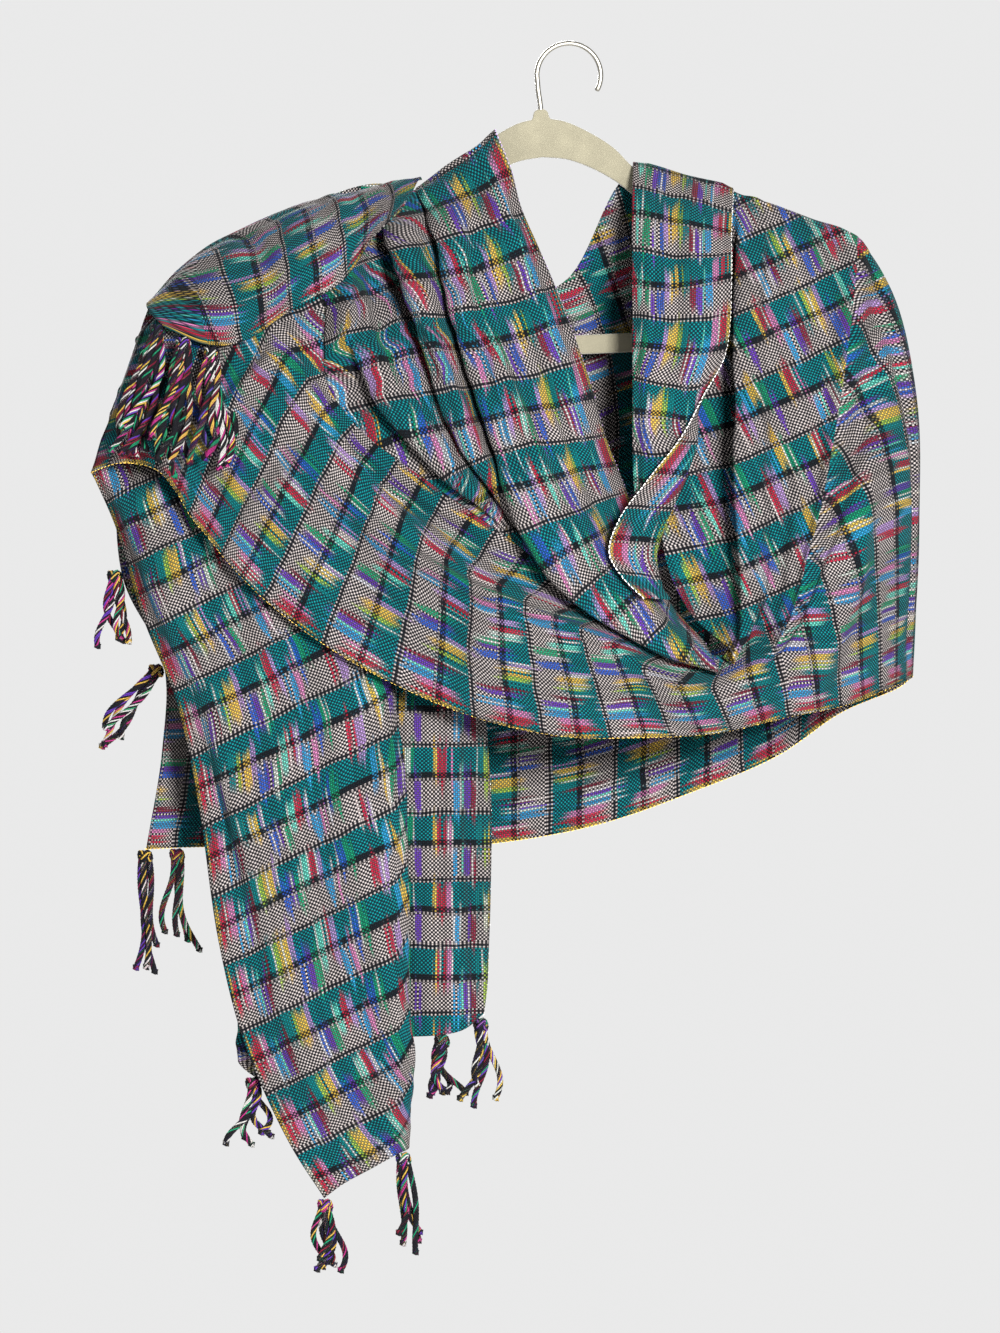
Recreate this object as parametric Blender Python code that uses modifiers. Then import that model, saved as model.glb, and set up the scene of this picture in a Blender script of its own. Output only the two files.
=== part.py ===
"""Rebozo shawl wound on a flat hanger.

One length of handwoven cloth is laid over a hanger. Each stretch of it that shows is a separate thin solid.
Tables are in millimetres in the hanger's own frame: x to the viewer's right, y away from the viewer,
z up, with zero where the hook wire enters the hanger body. The empty at the end moves that frame so that
the inner top of the hook's crown is the part's origin.
"""

import math

import bmesh
import bpy
from mathutils import Vector

MM = 0.001
CLOTH_WALL = 1.2
SEAM_GAP = 0.4
TURN_CLEARANCE = 0.96
SHARED_EDGE_REACH = 2.0
MAX_SEAM_TURN = math.radians(130)
MAX_TRIM_SHARE = 0.6
PINCH_GAP = 2.0
BACK_SEAM_STEP = 0.5
LEFT_TURN_STEP = Vector((1, 7, -2))
GRID_STEPS = 2
LAPEL_LEVEL_STEPS = 3
FINE_STEPS = 12
DRAPE_SIDE_SPANS = 4
HANGER_SPINE_END = 150.0
HANGER_THICKNESS = 4.0
HANGER_TILT = math.radians(2.5)
WIRE_DIAMETER = 3.2
CROWN_CENTRE = (17.6, 25.8)
CROWN_RADIUS = 20.1
CROWN_END_DEGREES = -28
CROWN_STEPS = 18
STRAND_RADIUS = 1.2
STRAND_SPANS = 3
STRAND_TAPER = 0.45
STRAND_TWIST_DEGREES = 40
STRAND_BOW = 2.0
HEAD_RADIUS = 4.8
ROOT_RING_RADIUS = 3.4
TIP_RING_RADIUS = 4.5
TIP_SPREAD_PER_LENGTH = 0.05
STRAND_LENGTH_STEP = 0.09

# Share of the way up from hem to ridge, and share of the belly there
BELLY_LINE = [(0.34, 0.6), (0.66, 1.0), (0.87, 0.77)]

# The cowl's pleats in millimetres where they are fully open
TUCK_REACH = 5.0
MAX_TUCK_SHARE = 0.35
FIRST_PLEAT_STEP = 3
FIRST_TUCK = 12
SECOND_TUCK = 11
THIRD_TUCK = 8
SECOND_CROWN = 2
FIRST_CROWN = 7
FIRST_CROWN_PLACE = 0.45
INNER_CROWN = 9
FLAT_SELVAGE_BACK = 40
PIT_CLOSING_DEPTH = 8
PIT_TUCK_SHARE = 0.7

CLOTH_COLOUR = (0.10, 0.30, 0.30, 1.0)
FRINGE_COLOUR = (0.05, 0.03, 0.06, 1.0)
FLOCK_COLOUR = (0.62, 0.56, 0.45, 1.0)
WIRE_COLOUR = (0.55, 0.54, 0.52, 1.0)

# The hook's stem below its crown and the moulded neck that holds it: (x, height)
HOOK_STEM = [(0.0, 3.3), (-0.6, 9.0), (-1.7, 16.0)]
HANGER_NECK = [(-4.5, 3.0), (4.5, 3.0), (5.0, 0.0)]
# Half of the hanger's upper edge and lower edge, from the neck out to the tip: (distance out, height)
ARM_TOP = [(6, -2), (15, -4), (30, -11.5), (45, -22), (56, -34), (66, -42), (90, -49.5), (122, -58.5),
           (163, -74.5), (186, -90), (197, -102)]
ARM_TIP = [(204, -113), (207, -126), (205, -138), (198, -147), (188, -151)]
ARM_UNDERSIDE = [(0, -26), (15, -28), (30, -34), (45, -43), (60, -55), (90, -68), (122, -78),
                 (158, -93), (176, -106), (186, -117), (190, -127), (187, -135), (178, -139)]

# The front drape, one row per weft section from the left turn to the right side.
# Columns: lower selvage, outer ridge, outermost cowl edge, outward belly and inward trough between them.
DRAPE_SECTIONS = [
    # hem (x, y, z)       ridge (x, y, z)       edge (x, y, z)      belly trough
    ((-283, -8, -225),    (-252, -6, -136),     (-238, -1, -120),    0, 0),
    ((-281, -15, -224),   (-248, -13, -136),    (-234, -8, -118),    0, 0),
    ((-262, -30, -219),   (-222, -30, -120),    (-204, -10, -99),    2, 1),
    ((-240, -39, -224),   (-194, -42, -117),    (-172, -12, -84),    3, 2),
    ((-228, -43, -238),   (-179, -49, -122),    (-150, -24, -92),    3, 2),
    ((-219, -46, -253),   (-167, -54, -134),    (-136, -42, -120),   3, 3),
    ((-209, -48, -265),   (-156, -58, -151),    (-136, -46, -145),   3, 2),
    ((-197, -50, -280),   (-143, -62, -172),    (-134, -50, -170),   4, 2),
    ((-168, -54, -309),   (-121, -66, -210),    (-112, -56, -200),   4, 2),
    ((-114, -60, -346),   (-87, -70, -256),     (-74, -60, -229),    5, 9),
    ((-45, -64, -377),    (-46, -74, -287),     (-30, -59, -260),    6, 9),
    ((12, -66, -390),     (-2, -77, -311),      (22, -56, -294),     6, 7),
    ((60, -66, -391),     (38, -78, -332),      (70, -54, -319),     5, 5),
    ((110, -63, -388),    (98, -76, -362),      (112, -53, -340),    3, 4),
    ((155, -55, -378),    (146, -72, -336),     (137, -58, -312),    4, 2),
    ((190, -42, -371),    (170, -70, -272),     (142, -62, -258),   12, 4),
    ((214, -26, -362),    (184, -60, -205),     (142, -58, -190),   20, 5),
    ((229, -11, -356),    (193, -40, -135),     (138, -46, -128),   25, 4),
    ((233, -6, -354),     (197, -18, -90),      (144, -15, -68),    26, 1),
    ((233.8, -3, -353.4), (197, -6, -76.5),     (146, -6, -57.5),   26, 0),
    ((234, 1.4, -353),    (196, 1.4, -74.5),    (146, 1.4, -55.5),  26, 0),
]
# Sections of the front drape whose edge the cowl and the narrow right pleat carry on from
COWL_FIRST_SECTION = 4
PINCH_SECTION = 13

# The cowl's stacked pleats, one row per level from just over the left arm down to the pinch.
# Columns: outer edge (x, y, z), then (x, z) of third, second and first pleat edge, crease and neck selvage,
# depth of the pleat crowns, how open the pleats are (0 to 1), depth of the pit beside the third pleat, how
# far the outer pleats have gone under the first (0 to 1), and how far back the selvage lies.
COWL_LEVELS = [
    # outer edge, third, second, first, crease, selvage; then crown, open, pit, under, back
    ((-152, 4.6, -68), (-124, -60), (-102, -54), (-78, -46.6), (-50, -28), (-29, -10.8),
     4.6, 0.0, 0, 0.0, 0),
    ((-152, 0, -66), (-124, -58), (-102, -52), (-78, -44.4), (-50, -25.8), (-29, -8.6),
     0, 0.0, 0, 0.0, 0),
    ((-152, -6, -69), (-123, -61), (-101, -55), (-77, -47.4), (-49, -28.8), (-28, -11.6),
     -6, 0.1, 1, 0.0, 0),
    ((-151, -13, -80), (-121, -74), (-99, -66), (-72, -60), (-43, -46), (-19, -34),
     -20, 0.6, 8, 0.0, 6),
    ((-150, -24, -92), (-118, -92), (-96, -82), (-67, -77), (-37, -68), (-13, -58),
     -38, 0.9, 22, 0.0, 12),
    ((-136, -42, -120), (-117, -116), (-89, -104), (-62, -102), (-30, -95), (-2, -84),
     -50, 1.0, 28, 0.0, 14),
    ((-136, -46, -145), (-119, -138), (-80, -128), (-56, -127), (-24, -120), (9, -110),
     -60, 1.0, 14, 0.0, 15),
    ((-134, -50, -170), (-110, -168), (-71, -156), (-47, -157), (-13, -150), (20, -139),
     -67, 1.0, 0, 0.0, 15),
    ((-112, -56, -200), (-95, -192), (-60, -188), (-39, -185), (-5, -178), (30, -168),
     -72, 1.0, 0, 0.0, 18),
    ((-74, -60, -229), (-62, -230), (-44, -220), (-30, -214), (6, -207), (40, -203),
     -76, 1.0, 0, 0.0, 24),
    ((-30, -59, -260), (-24, -262), (-16, -256), (-14, -257), (20, -246), (52, -234),
     -79, 0.9, 0, 0.85, 36),
    ((21, -60, -297), (22, -294), (22, -294), (18, -305), (42, -285), (62, -264),
     -80, 0.6, 0, 1.0, 40),
    ((69, -58, -322), (70, -319), (70, -319), (64, -333), (76, -322), (80, -306),
     -77, 0.4, 0, 1.0, 34),
    ((111, -57, -342.5), (112, -340), (112, -340), (110, -350), (107, -342), (102, -332),
     -72, 0.3, 0, 1.0, 12),
]

# The narrow pleat and pocket on the right, one row per level from the pinch up over the right arm.
# Columns: ridge shared with the front drape, crown, inner edge, tuck behind it, pocket wall, hidden edge.
FALL_LEVELS = [
    # ridge, crown, edge; then tuck, pocket, hidden
    ((113, -57, -341), (120, -69, -345), (119, -73, -341),
     (117, -62, -336), (112, -54, -331), (106, -46, -326)),
    ((136.5, -60.5, -312), (133, -67, -314), (126, -67, -317),
     (124, -55, -318), (108, -45, -320), (94, -37, -314)),
    ((142, -62, -258), (134, -70, -262), (122, -68, -268),
     (124, -52, -268), (98, -42, -280), (78, -40, -280)),
    ((142, -58, -190), (133, -66, -196), (121, -64, -206),
     (126, -44, -206), (100, -36, -220), (76, -44, -216)),
    ((138, -46, -128), (131, -54, -132), (120, -52, -140),
     (124, -34, -140), (104, -28, -146), (84, -34, -146)),
    ((144, -15, -68), (138, -17, -66), (128, -16, -65),
     (120, -12, -60), (104, -11, -55), (88, -11, -51)),
    ((146, -6, -57.5), (139, -6, -55.5), (130, -6, -53),
     (121, -6, -50.8), (106, -6, -47), (90, -6, -43)),
    ((146, 1.4, -55.5), (139, 1.4, -53.6), (130, 1.4, -51.2),
     (121, 1.4, -49), (106, 1.4, -45.2), (90, 1.4, -41.2)),
]

# The lapel on the right, one row per level from behind the right arm down to the pinch.
# Columns: left fold, middle, right turn, and neck selvage; lower down the selvage rolls over to the left.
LAPEL_LEVELS = [
    # fold (x, y, z)      middle               turn                 selvage
    ((58, 4.4, -31.2),    (80, 4.4, -36.6),    (104, 4.4, -42.6),   (121, 4.4, -46.6)),
    ((58, 0, -29.2),      (80, 0, -35.4),      (104, 0, -41.6),     (121, 0, -45.6)),
    ((58, -6, -31.5),     (80, -7, -37.4),     (104, -9, -44),      (121, -10, -48.4)),
    ((57, -30, -62),      (79, -36, -66),      (102, -38, -71),     (119, -34, -75)),
    ((57, -44, -104),     (78, -52, -106),     (101, -54, -104),    (119, -48, -100)),
    ((57, -53, -150),     (77, -60, -152),     (99, -62, -154),     (115, -57, -151)),
    ((57, -58, -182),     (76, -64, -186),     (96, -66, -188),     (101, -73, -178)),
    ((57, -61, -210),     (74, -65, -212),     (98, -67, -206),     (87, -79, -204)),
    ((58, -63, -236),     (70, -66, -238),     (87, -68, -233),     (66, -82, -231)),
    ((61, -64, -258),     (67, -66, -258),     (79, -69, -256),     (48, -86, -256)),
    ((63, -64, -278),     (66, -66, -278),     (72, -70, -278),     (42, -87, -276)),
    ((67, -64, -292),     (70, -67, -293),     (75, -71, -294),     (50, -88, -291)),
    ((76, -64, -303),     (78, -67, -304),     (80, -71, -305),     (63, -87, -304)),
]

# The back of the cloth, one row per warp line; every row runs from the left edge to the right side.
BACK_ROWS = [
    [(-249, 10, -462), (-218, 26, -461), (-152, 42, -462), (-89, 48, -462), (-29, 50, -459), (37, 50, -447),
     (100, 48, -425), (151, 42, -403), (190, 30, -376), (226, 12, -360)],
    [(-239, 12, -400), (-208, 30, -398), (-150, 46, -398), (-89, 52, -398), (-29, 54, -395), (37, 54, -386),
     (100, 51, -370), (151, 44, -352), (196, 30, -330), (229, 12, -314)],
    [(-238, 11, -345), (-212, 28, -338), (-152, 44, -334), (-89, 50, -330), (-29, 52, -326), (37, 52, -318),
     (100, 49, -306), (151, 42, -292), (200, 28, -276), (231, 11, -264)],
    [(-264, 9, -290), (-232, 24, -268), (-160, 38, -262), (-89, 43, -256), (-29, 45, -252), (37, 45, -246),
     (100, 43, -236), (151, 37, -228), (200, 25, -216), (230, 10, -210)],
    [(-266, 8, -205), (-236, 20, -186), (-160, 30, -184), (-89, 34, -182), (-30, 36, -186), (37, 36, -178),
     (98, 35, -164), (150, 30, -158), (198, 20, -156), (225, 9, -158)],
    [(-254, 7, -140), (-226, 14, -118), (-158, 18, -104), (-96, 20, -100), (-36, 27, -134), (26, 26, -124),
     (70, 20, -84), (120, 18, -88), (168, 14, -96), (208, 8, -108)],
    [(-247, 5.5, -119), (-216, 5.5, -91), (-151, 5.5, -57), (-92, 5.5, -44), (-40, 24, -116), (14, 22, -104),
     (58, 6.5, -35), (112, 6, -47), (160, 5.5, -61.5), (188, 5, -73.5)],
]

# The first end of the cloth over the left shoulder, one row per warp line from the outer edge to the neck.
# Columns: over the top, crest, front of the crest, middle, lower edge.
SHOULDER_ROWS = [
    [(-247, 3.4, -118), (-247, -3, -117), (-248, -12, -119), (-246, -26, -124), (-236, -44, -134)],
    [(-216, 3.8, -88.5), (-216, -4, -87.5), (-216, -18, -94), (-214, -44, -118), (-208, -55, -146)],
    [(-184, 3.8, -70), (-184, -4, -69), (-184, -20, -77), (-184, -50, -106), (-186, -64, -144)],
    [(-151, 3.8, -55), (-151, -4, -54), (-151, -20, -61), (-152, -52, -88), (-156, -66, -125)],
    [(-122, 3.8, -49), (-122, -4, -48), (-122, -18, -53), (-122, -46, -76), (-124, -56, -106)],
    [(-94, 3.8, -42.5), (-94, -4, -41.5), (-95, -14, -46), (-98, -38, -60), (-106, -55, -80)],
    [(-75, 3, -39.6), (-76, -4, -38.8), (-78, -12, -42.2), (-82, -30, -51), (-88, -48, -61.5)],
]

# The second end, one row per warp line. It starts along the left turn, hangs down folded like a fan, and
# shows its first panel in front, a hidden return behind it, the inner panel, and the far selvage.
# Each row goes on from the left turn, (x, y, z).
HANGING_ROWS = [
    [(-268, -2, -258), (-250, -18, -316), (-229, -26, -368),
     (-215, -32, -431), (-202, -37, -519), (-186, -38, -582), (-158, -35, -645), (-136, -31, -680)],
    [(-246, -20, -242), (-214, -36, -310), (-196, -42, -368),
     (-190, -44, -431), (-176, -44, -519), (-160, -42, -580), (-140, -38, -636), (-124, -34, -671)],
    [(-226, -26, -220), (-166, -42, -300), (-144, -47, -366),
     (-138, -48, -430), (-134, -48, -522), (-126, -46, -580), (-116, -42, -630), (-106, -38, -661)],
    [(-210, -28, -206), (-124, -40, -290), (-100, -46, -356),
     (-92, -46, -427), (-90, -46, -522), (-89, -44, -578), (-89, -41, -621), (-90, -38, -652)],
    [(-206, -25, -200), (-116, -36, -286), (-93, -41, -354),
     (-85, -41, -426), (-83, -41, -521), (-82, -39, -576), (-82, -36, -618), (-83, -33, -648)],
    [(-206, -21, -192), (-122, -32, -282), (-100, -36, -352),
     (-92, -36, -426), (-90, -36, -516), (-90, -34, -568), (-90, -32, -610), (-91, -29, -638)],
    [(-212, -15, -184), (-178, -25, -280), (-180, -29, -354),
     (-182, -29, -426), (-182, -29, -504), (-180, -28, -548), (-180, -27, -584), (-180, -26, -604)],
    [(-213, -11, -178), (-186, -20, -278), (-189, -24, -353),
     (-192, -24, -426), (-193, -24, -500), (-191, -23, -542), (-191, -22, -575), (-190, -21, -594)],
    [(-208, -8, -174), (-178, -15, -276), (-180, -19, -352),
     (-183, -19, -426), (-184, -19, -498), (-183, -18, -540), (-183, -17, -572), (-182, -16, -591)],
    [(-200, -8, -168), (-128, -13, -266), (-124, -16, -346),
     (-122, -16, -424), (-120, -16, -496), (-120, -16, -532), (-120, -16, -562), (-120, -16, -581)],
    [(-192, -8, -162), (-86, -18, -258), (-58, -26, -340),
     (-52, -27, -424), (-52, -27, -496), (-52, -26, -530), (-52, -25, -558), (-52, -24, -576)],
    [(-184, -7, -158), (-72, -11, -250), (-42, -13, -334),
     (-32, -13, -424), (-32, -13, -490), (-33, -13, -522), (-34, -13, -548), (-36, -13, -565)],
]

# Fringe groups. Columns: name, knot top (x, y, z), lean (x, y) per unit of drop, length, strands.
TASSELS = [
    ("shoulder_outer", (-240.1, -39, -132.1), (-0.24, -0.16), 96, 7),
    ("shoulder_middle", (-223.6, -51.3, -140.7), (-0.04, -0.14), 104, 7),
    ("shoulder_inner", (-205.7, -55.6, -146.6), (0.10, -0.14), 96, 7),
    ("left_upper", (-268.9, 8.7, -285.6), (0.02, 0.0), 58, 5),
    ("left_middle", (-242.9, 10.7, -344.9), (-0.75, 0.0), 62, 6),
    ("back_left", (-230, 20.4, -461.6), (0.03, 0.0), 78, 6),
    ("back_corner", (-249.8, 10.2, -462.2), (0.02, 0.0), 96, 5),
    ("inner_left", (-180.7, -26.5, -604.1), (0.05, 0.0), 48, 6),
    ("front_left", (-135.4, -31.1, -680.2), (0.03, 0.0), 50, 7),
    ("front_right", (-86.3, -35.3, -650.8), (0.08, 0.0), 80, 7),
    ("inner_middle", (-62.2, -22.5, -577.4), (-0.10, 0.0), 44, 6),
    ("inner_right", (-38, -14, -567.4), (0.04, 0.0), 66, 5),
]


def clear_scene():
    """Remove every object that the file opened with."""
    for obj in list(bpy.data.objects):
        bpy.data.objects.remove(obj, do_unlink=True)


def principled(name, colour, roughness, metallic=0.0):
    """Return a Principled material with the given colour, roughness and metallic value."""
    material = bpy.data.materials.new(name)
    material.use_nodes = True
    shader = material.node_tree.nodes["Principled BSDF"]
    shader.inputs["Base Color"].default_value = colour
    shader.inputs["Roughness"].default_value = roughness
    shader.inputs["Metallic"].default_value = metallic
    return material


def catmull_rom(points, steps):
    """Return a smooth line through every point, with the given number of steps in each span.

    The spans are weighted by the square root of their length, so a short span beside a long one doesn't loop.
    """
    guide = [Vector(p) for p in points]
    widths = [max((end - start).length, 0.01) ** 0.5 for start, end in zip(guide, guide[1:])]
    slopes = [(end - start) / width for start, end, width in zip(guide, guide[1:], widths)]
    tangents = [slopes[0]]
    for slope, next_slope, width, next_width in zip(slopes, slopes[1:], widths, widths[1:]):
        tangents.append((slope * next_width + next_slope * width) / (width + next_width))
    tangents.append(slopes[-1])
    line = []
    for index, width in enumerate(widths):
        for step in range(steps):
            t = step / steps
            line.append(guide[index] * (2 * t ** 3 - 3 * t ** 2 + 1)
                        + tangents[index] * width * (t ** 3 - 2 * t ** 2 + t)
                        + guide[index + 1] * (3 * t ** 2 - 2 * t ** 3)
                        + tangents[index + 1] * width * (t ** 3 - t ** 2))
    line.append(guide[-1])
    return line


def loft(rows, along, across):
    """Return a grid of points through rows of matching points, smooth in both directions."""
    lines = [catmull_rom(row, along) for row in rows]
    columns = [catmull_rom(list(column), across) for column in zip(*lines)]
    return [list(row) for row in zip(*columns)]


def transpose(grid):
    """Swap the rows and columns of a grid."""
    return [list(column) for column in zip(*grid)]


def pulled(edge, inner, amount):
    """Return an edge point moved in towards its inner neighbour."""
    inward = inner - edge
    return edge + inward.normalized() * min(amount, inward.length * MAX_TRIM_SHARE)


def trim_side(grid, side, amount):
    """Trim the first (0) or last (-1) column of a grid by an amount."""
    inner = 1 if side == 0 else -2
    for row in grid:
        row[side] = pulled(row[side], row[inner], amount)


def part_seam(below, above, start, stop):
    """Part the last row of one grid from the first row of the grid that carries on from it.

    The two keep the seam's gap where the cloth runs straight on, and more where it turns back on itself.
    """
    for index in range(start, stop):
        other = index - start if len(above[0]) == stop - start else index
        edge, inner = below[-1][index], below[-2][index]
        next_edge, next_inner = above[0][other], above[1][other]
        if (next_edge - edge).length < SHARED_EDGE_REACH:
            next_edge = edge
        turn = min((edge - inner).angle(next_inner - edge, 0.0), MAX_SEAM_TURN)
        amount = SEAM_GAP / 2 + TURN_CLEARANCE * math.tan(turn / 2)
        below[-1][index] = pulled(edge, inner, amount)
        above[0][other] = pulled(next_edge, next_inner, amount)


def outward_from_hanger(point):
    """Return the level direction from the hanger's plane out through a point of the cloth."""
    spine_x = max(-HANGER_SPINE_END, min(HANGER_SPINE_END, point.x))
    direction = Vector((point.x - spine_x, point.y, 0.0))
    return direction.normalized() if direction.length > 1 else Vector((0, -1, 0))


def drape_rows():
    """Return the front drape's warp lines: hem, three belly lines, ridge, trough and outer cowl edge."""
    rows = [[] for _ in range(7)]
    for hem, ridge, edge, belly, dip in DRAPE_SECTIONS:
        low, middle, high = Vector(hem), Vector(ridge), Vector(edge)
        bulge = outward_from_hanger(low.lerp(middle, 0.5)) * belly
        section = [low]
        for height, share in BELLY_LINE:
            section.append(low.lerp(middle, height) + bulge * share)
        section.append(middle)
        section.append(middle.lerp(high, 0.5) + Vector((0, dip, 0)))
        section.append(high)
        for row, point in zip(rows, section):
            row.append(point)
    return rows


def tucked(edge, inner, crown, tuck, opening):
    """Return a pleat's hidden line: behind its edge, and in under the pleat as far as the pleat is open."""
    toward = inner - edge
    toward.y = 0
    reach = min(TUCK_REACH * (1.5 * opening - 0.5), toward.length * MAX_TUCK_SHARE)
    return Vector((edge.x, crown + tuck, edge.z)) + toward.normalized() * reach


def cowl_rows():
    """Return the cowl's warp lines from the outer edge to the neck selvage, each pleat with its tuck."""
    levels = []
    for outer, third, second, first, crease, selvage, crown, opening, pit, under, back in COWL_LEVELS:
        outer_edge = Vector(outer)
        third_edge = Vector((third[0], crown + opening, third[1]))
        second_edge = Vector((second[0], crown, second[1]))
        first_edge = Vector((first[0], crown - FIRST_PLEAT_STEP * opening, first[1]))
        crease_line = Vector((crease[0], crown + opening, crease[1]))
        selvage_line = Vector((selvage[0], crown + back, selvage[1]))
        inner_crown = INNER_CROWN * opening * (1 - min(back / FLAT_SELVAGE_BACK, 1))
        first_tuck = tucked(first_edge, crease_line, crown, FIRST_TUCK * opening, opening)
        second_tuck = SECOND_TUCK * opening + pit * PIT_TUCK_SHARE
        third_opening = opening * max(0, 1 - pit / PIT_CLOSING_DEPTH)
        level = [outer_edge]
        level.append(tucked(third_edge, second_edge, crown, THIRD_TUCK * third_opening, third_opening))
        level.append(third_edge)
        level.append(third_edge.lerp(second_edge, 0.5) + Vector((0, pit - FIRST_PLEAT_STEP * opening, 0)))
        level.append(tucked(second_edge, first_edge, crown, second_tuck, opening))
        level.append(second_edge)
        level.append(second_edge.lerp(first_edge, 0.5) + Vector((0, -SECOND_CROWN * opening, 0)))
        for index in range(1, len(level)):
            level[index] = level[index].lerp(outer_edge.lerp(first_tuck, index / len(level)), under)
        level.append(first_tuck)
        level.append(first_edge)
        crown_step = Vector((0, -FIRST_CROWN * opening, 0))
        level.append(first_edge.lerp(crease_line, FIRST_CROWN_PLACE) + crown_step)
        level.append(crease_line)
        level.append(crease_line.lerp(selvage_line, 0.5) + Vector((0, -inner_crown, 0)))
        level.append(selvage_line)
        levels.append(level)
    return transpose(levels)


def spread_along(line, count):
    """Return the given number of points spread evenly over a line's spans."""
    points = []
    for index in range(count):
        place = index * (len(line) - 1) / (count - 1)
        start = min(int(place), len(line) - 2)
        points.append(line[start].lerp(line[start + 1], place - start))
    return points


def side_line(rows, side, spans):
    """Return the fine line down one side of a sheet's first spans, before it is lofted."""
    return catmull_rom([row[side] for row in rows], FINE_STEPS)[:spans * FINE_STEPS + 1]


def set_side(grid, side, line):
    """Lay one side of a grid on a line."""
    for row, point in zip(grid, spread_along(line, len(grid))):
        row[side] = point


def back_sheet(right_side, steps):
    """Return the back's grid, ending on the line where the front drape turns to the back."""
    line = [point + Vector((0, BACK_SEAM_STEP, 0)) for point in right_side]
    rows = [row + [point] for row, point in zip(BACK_ROWS, spread_along(line, len(BACK_ROWS)))]
    grid = loft(rows, steps, steps)
    set_side(grid, -1, line)
    return grid


def hanging_sheet(left_side, steps):
    """Return the second end's grid, starting on the line where the front drape turns round."""
    rows = []
    for row, point in zip(HANGING_ROWS, spread_along(left_side, len(HANGING_ROWS))):
        rows.append([point, point + LEFT_TURN_STEP] + row)
    grid = loft(rows, steps, steps)
    set_side(grid, 0, left_side)
    return grid


def cloth_solid(name, grid, material, collection, parent):
    """Make a thin closed cloth solid from a grid of points in millimetres."""
    mesh = bpy.data.meshes.new(name)
    build = bmesh.new()
    verts = [[build.verts.new(point * MM) for point in row] for row in grid]
    for row, next_row in zip(verts, verts[1:]):
        for a, b, c, d in zip(row, row[1:], next_row[1:], next_row):
            build.faces.new((a, b, c, d))
    bmesh.ops.recalc_face_normals(build, faces=build.faces)
    build.to_mesh(mesh)
    build.free()
    mesh.materials.append(material)
    mesh.shade_smooth()
    obj = bpy.data.objects.new(name, mesh)
    collection.objects.link(obj)
    obj.parent = parent
    solidify = obj.modifiers.new("wall", "SOLIDIFY")
    solidify.thickness = CLOTH_WALL * MM
    solidify.offset = 0.0
    triangulate = obj.modifiers.new("flat facets", "TRIANGULATE")
    triangulate.min_vertices = 4
    return obj


def hanger_outline():
    """Return the outer outline and the inner hole of the hanger body, as (x, z) points."""
    right = HANGER_NECK[-1:] + ARM_TOP + ARM_TIP
    outer = HANGER_NECK[:-1] + right + [(-x, z) for x, z in reversed(right)]
    hole = ARM_UNDERSIDE + [(-x, z) for x, z in reversed(ARM_UNDERSIDE[1:])]
    return outer, hole


def make_hanger_body(material, collection, parent):
    """Make the flat hanger body from a filled outline with the triangle left open."""
    curve = bpy.data.curves.new("hanger_body", "CURVE")
    curve.dimensions = "2D"
    curve.fill_mode = "BOTH"
    curve.extrude = HANGER_THICKNESS / 2 * MM
    for outline in hanger_outline():
        spline = curve.splines.new("POLY")
        spline.points.add(len(outline) - 1)
        for point, (x, z) in zip(spline.points, outline):
            point.co = (x * MM, z * MM, 0, 1)
        spline.use_cyclic_u = True
    curve.materials.append(material)
    body = bpy.data.objects.new("hanger_body", curve)
    collection.objects.link(body)
    body.parent = parent
    body.rotation_euler = (math.radians(90), -HANGER_TILT, 0)
    return body


def make_hanger_hook(material, collection, parent):
    """Make the wire hook: a short stem that turns into an open round crown."""
    stem_top = (CROWN_CENTRE[0] - CROWN_RADIUS, CROWN_CENTRE[1])
    route = HOOK_STEM + [stem_top]
    for step in range(1, CROWN_STEPS + 1):
        angle = math.radians(180 + (CROWN_END_DEGREES - 180) * step / CROWN_STEPS)
        route.append((CROWN_CENTRE[0] + CROWN_RADIUS * math.cos(angle),
                      CROWN_CENTRE[1] + CROWN_RADIUS * math.sin(angle)))
    curve = bpy.data.curves.new("hanger_hook", "CURVE")
    curve.dimensions = "3D"
    curve.bevel_depth = WIRE_DIAMETER / 2 * MM
    curve.bevel_resolution = 2
    curve.use_fill_caps = True
    spline = curve.splines.new("POLY")
    spline.points.add(len(route) - 1)
    for point, (x, z) in zip(spline.points, route):
        point.co = (x * MM, 0, z * MM, 1)
    curve.materials.append(material)
    hook = bpy.data.objects.new("hanger_hook", curve)
    collection.objects.link(hook)
    hook.parent = parent
    return hook


def strand_mesh(build, start, end, bow):
    """Add one closed three-sided strand that bows out between its two ends."""
    rings = []
    for step in range(STRAND_SPANS + 1):
        t = step / STRAND_SPANS
        centre = start.lerp(end, t) + bow * math.sin(math.pi * t)
        radius = STRAND_RADIUS * (1.0 - STRAND_TAPER * t)
        ring = []
        for corner in range(3):
            angle = math.radians(120 * corner + STRAND_TWIST_DEGREES * t)
            offset = Vector((math.cos(angle), math.sin(angle), 0)) * radius
            ring.append(build.verts.new((centre + offset) * MM))
        rings.append(ring)
    for ring, next_ring in zip(rings, rings[1:]):
        for corner in range(3):
            after = (corner + 1) % 3
            build.faces.new((ring[corner], ring[after], next_ring[after], next_ring[corner]))
    build.faces.new(rings[0][::-1])
    build.faces.new(rings[-1])


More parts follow.
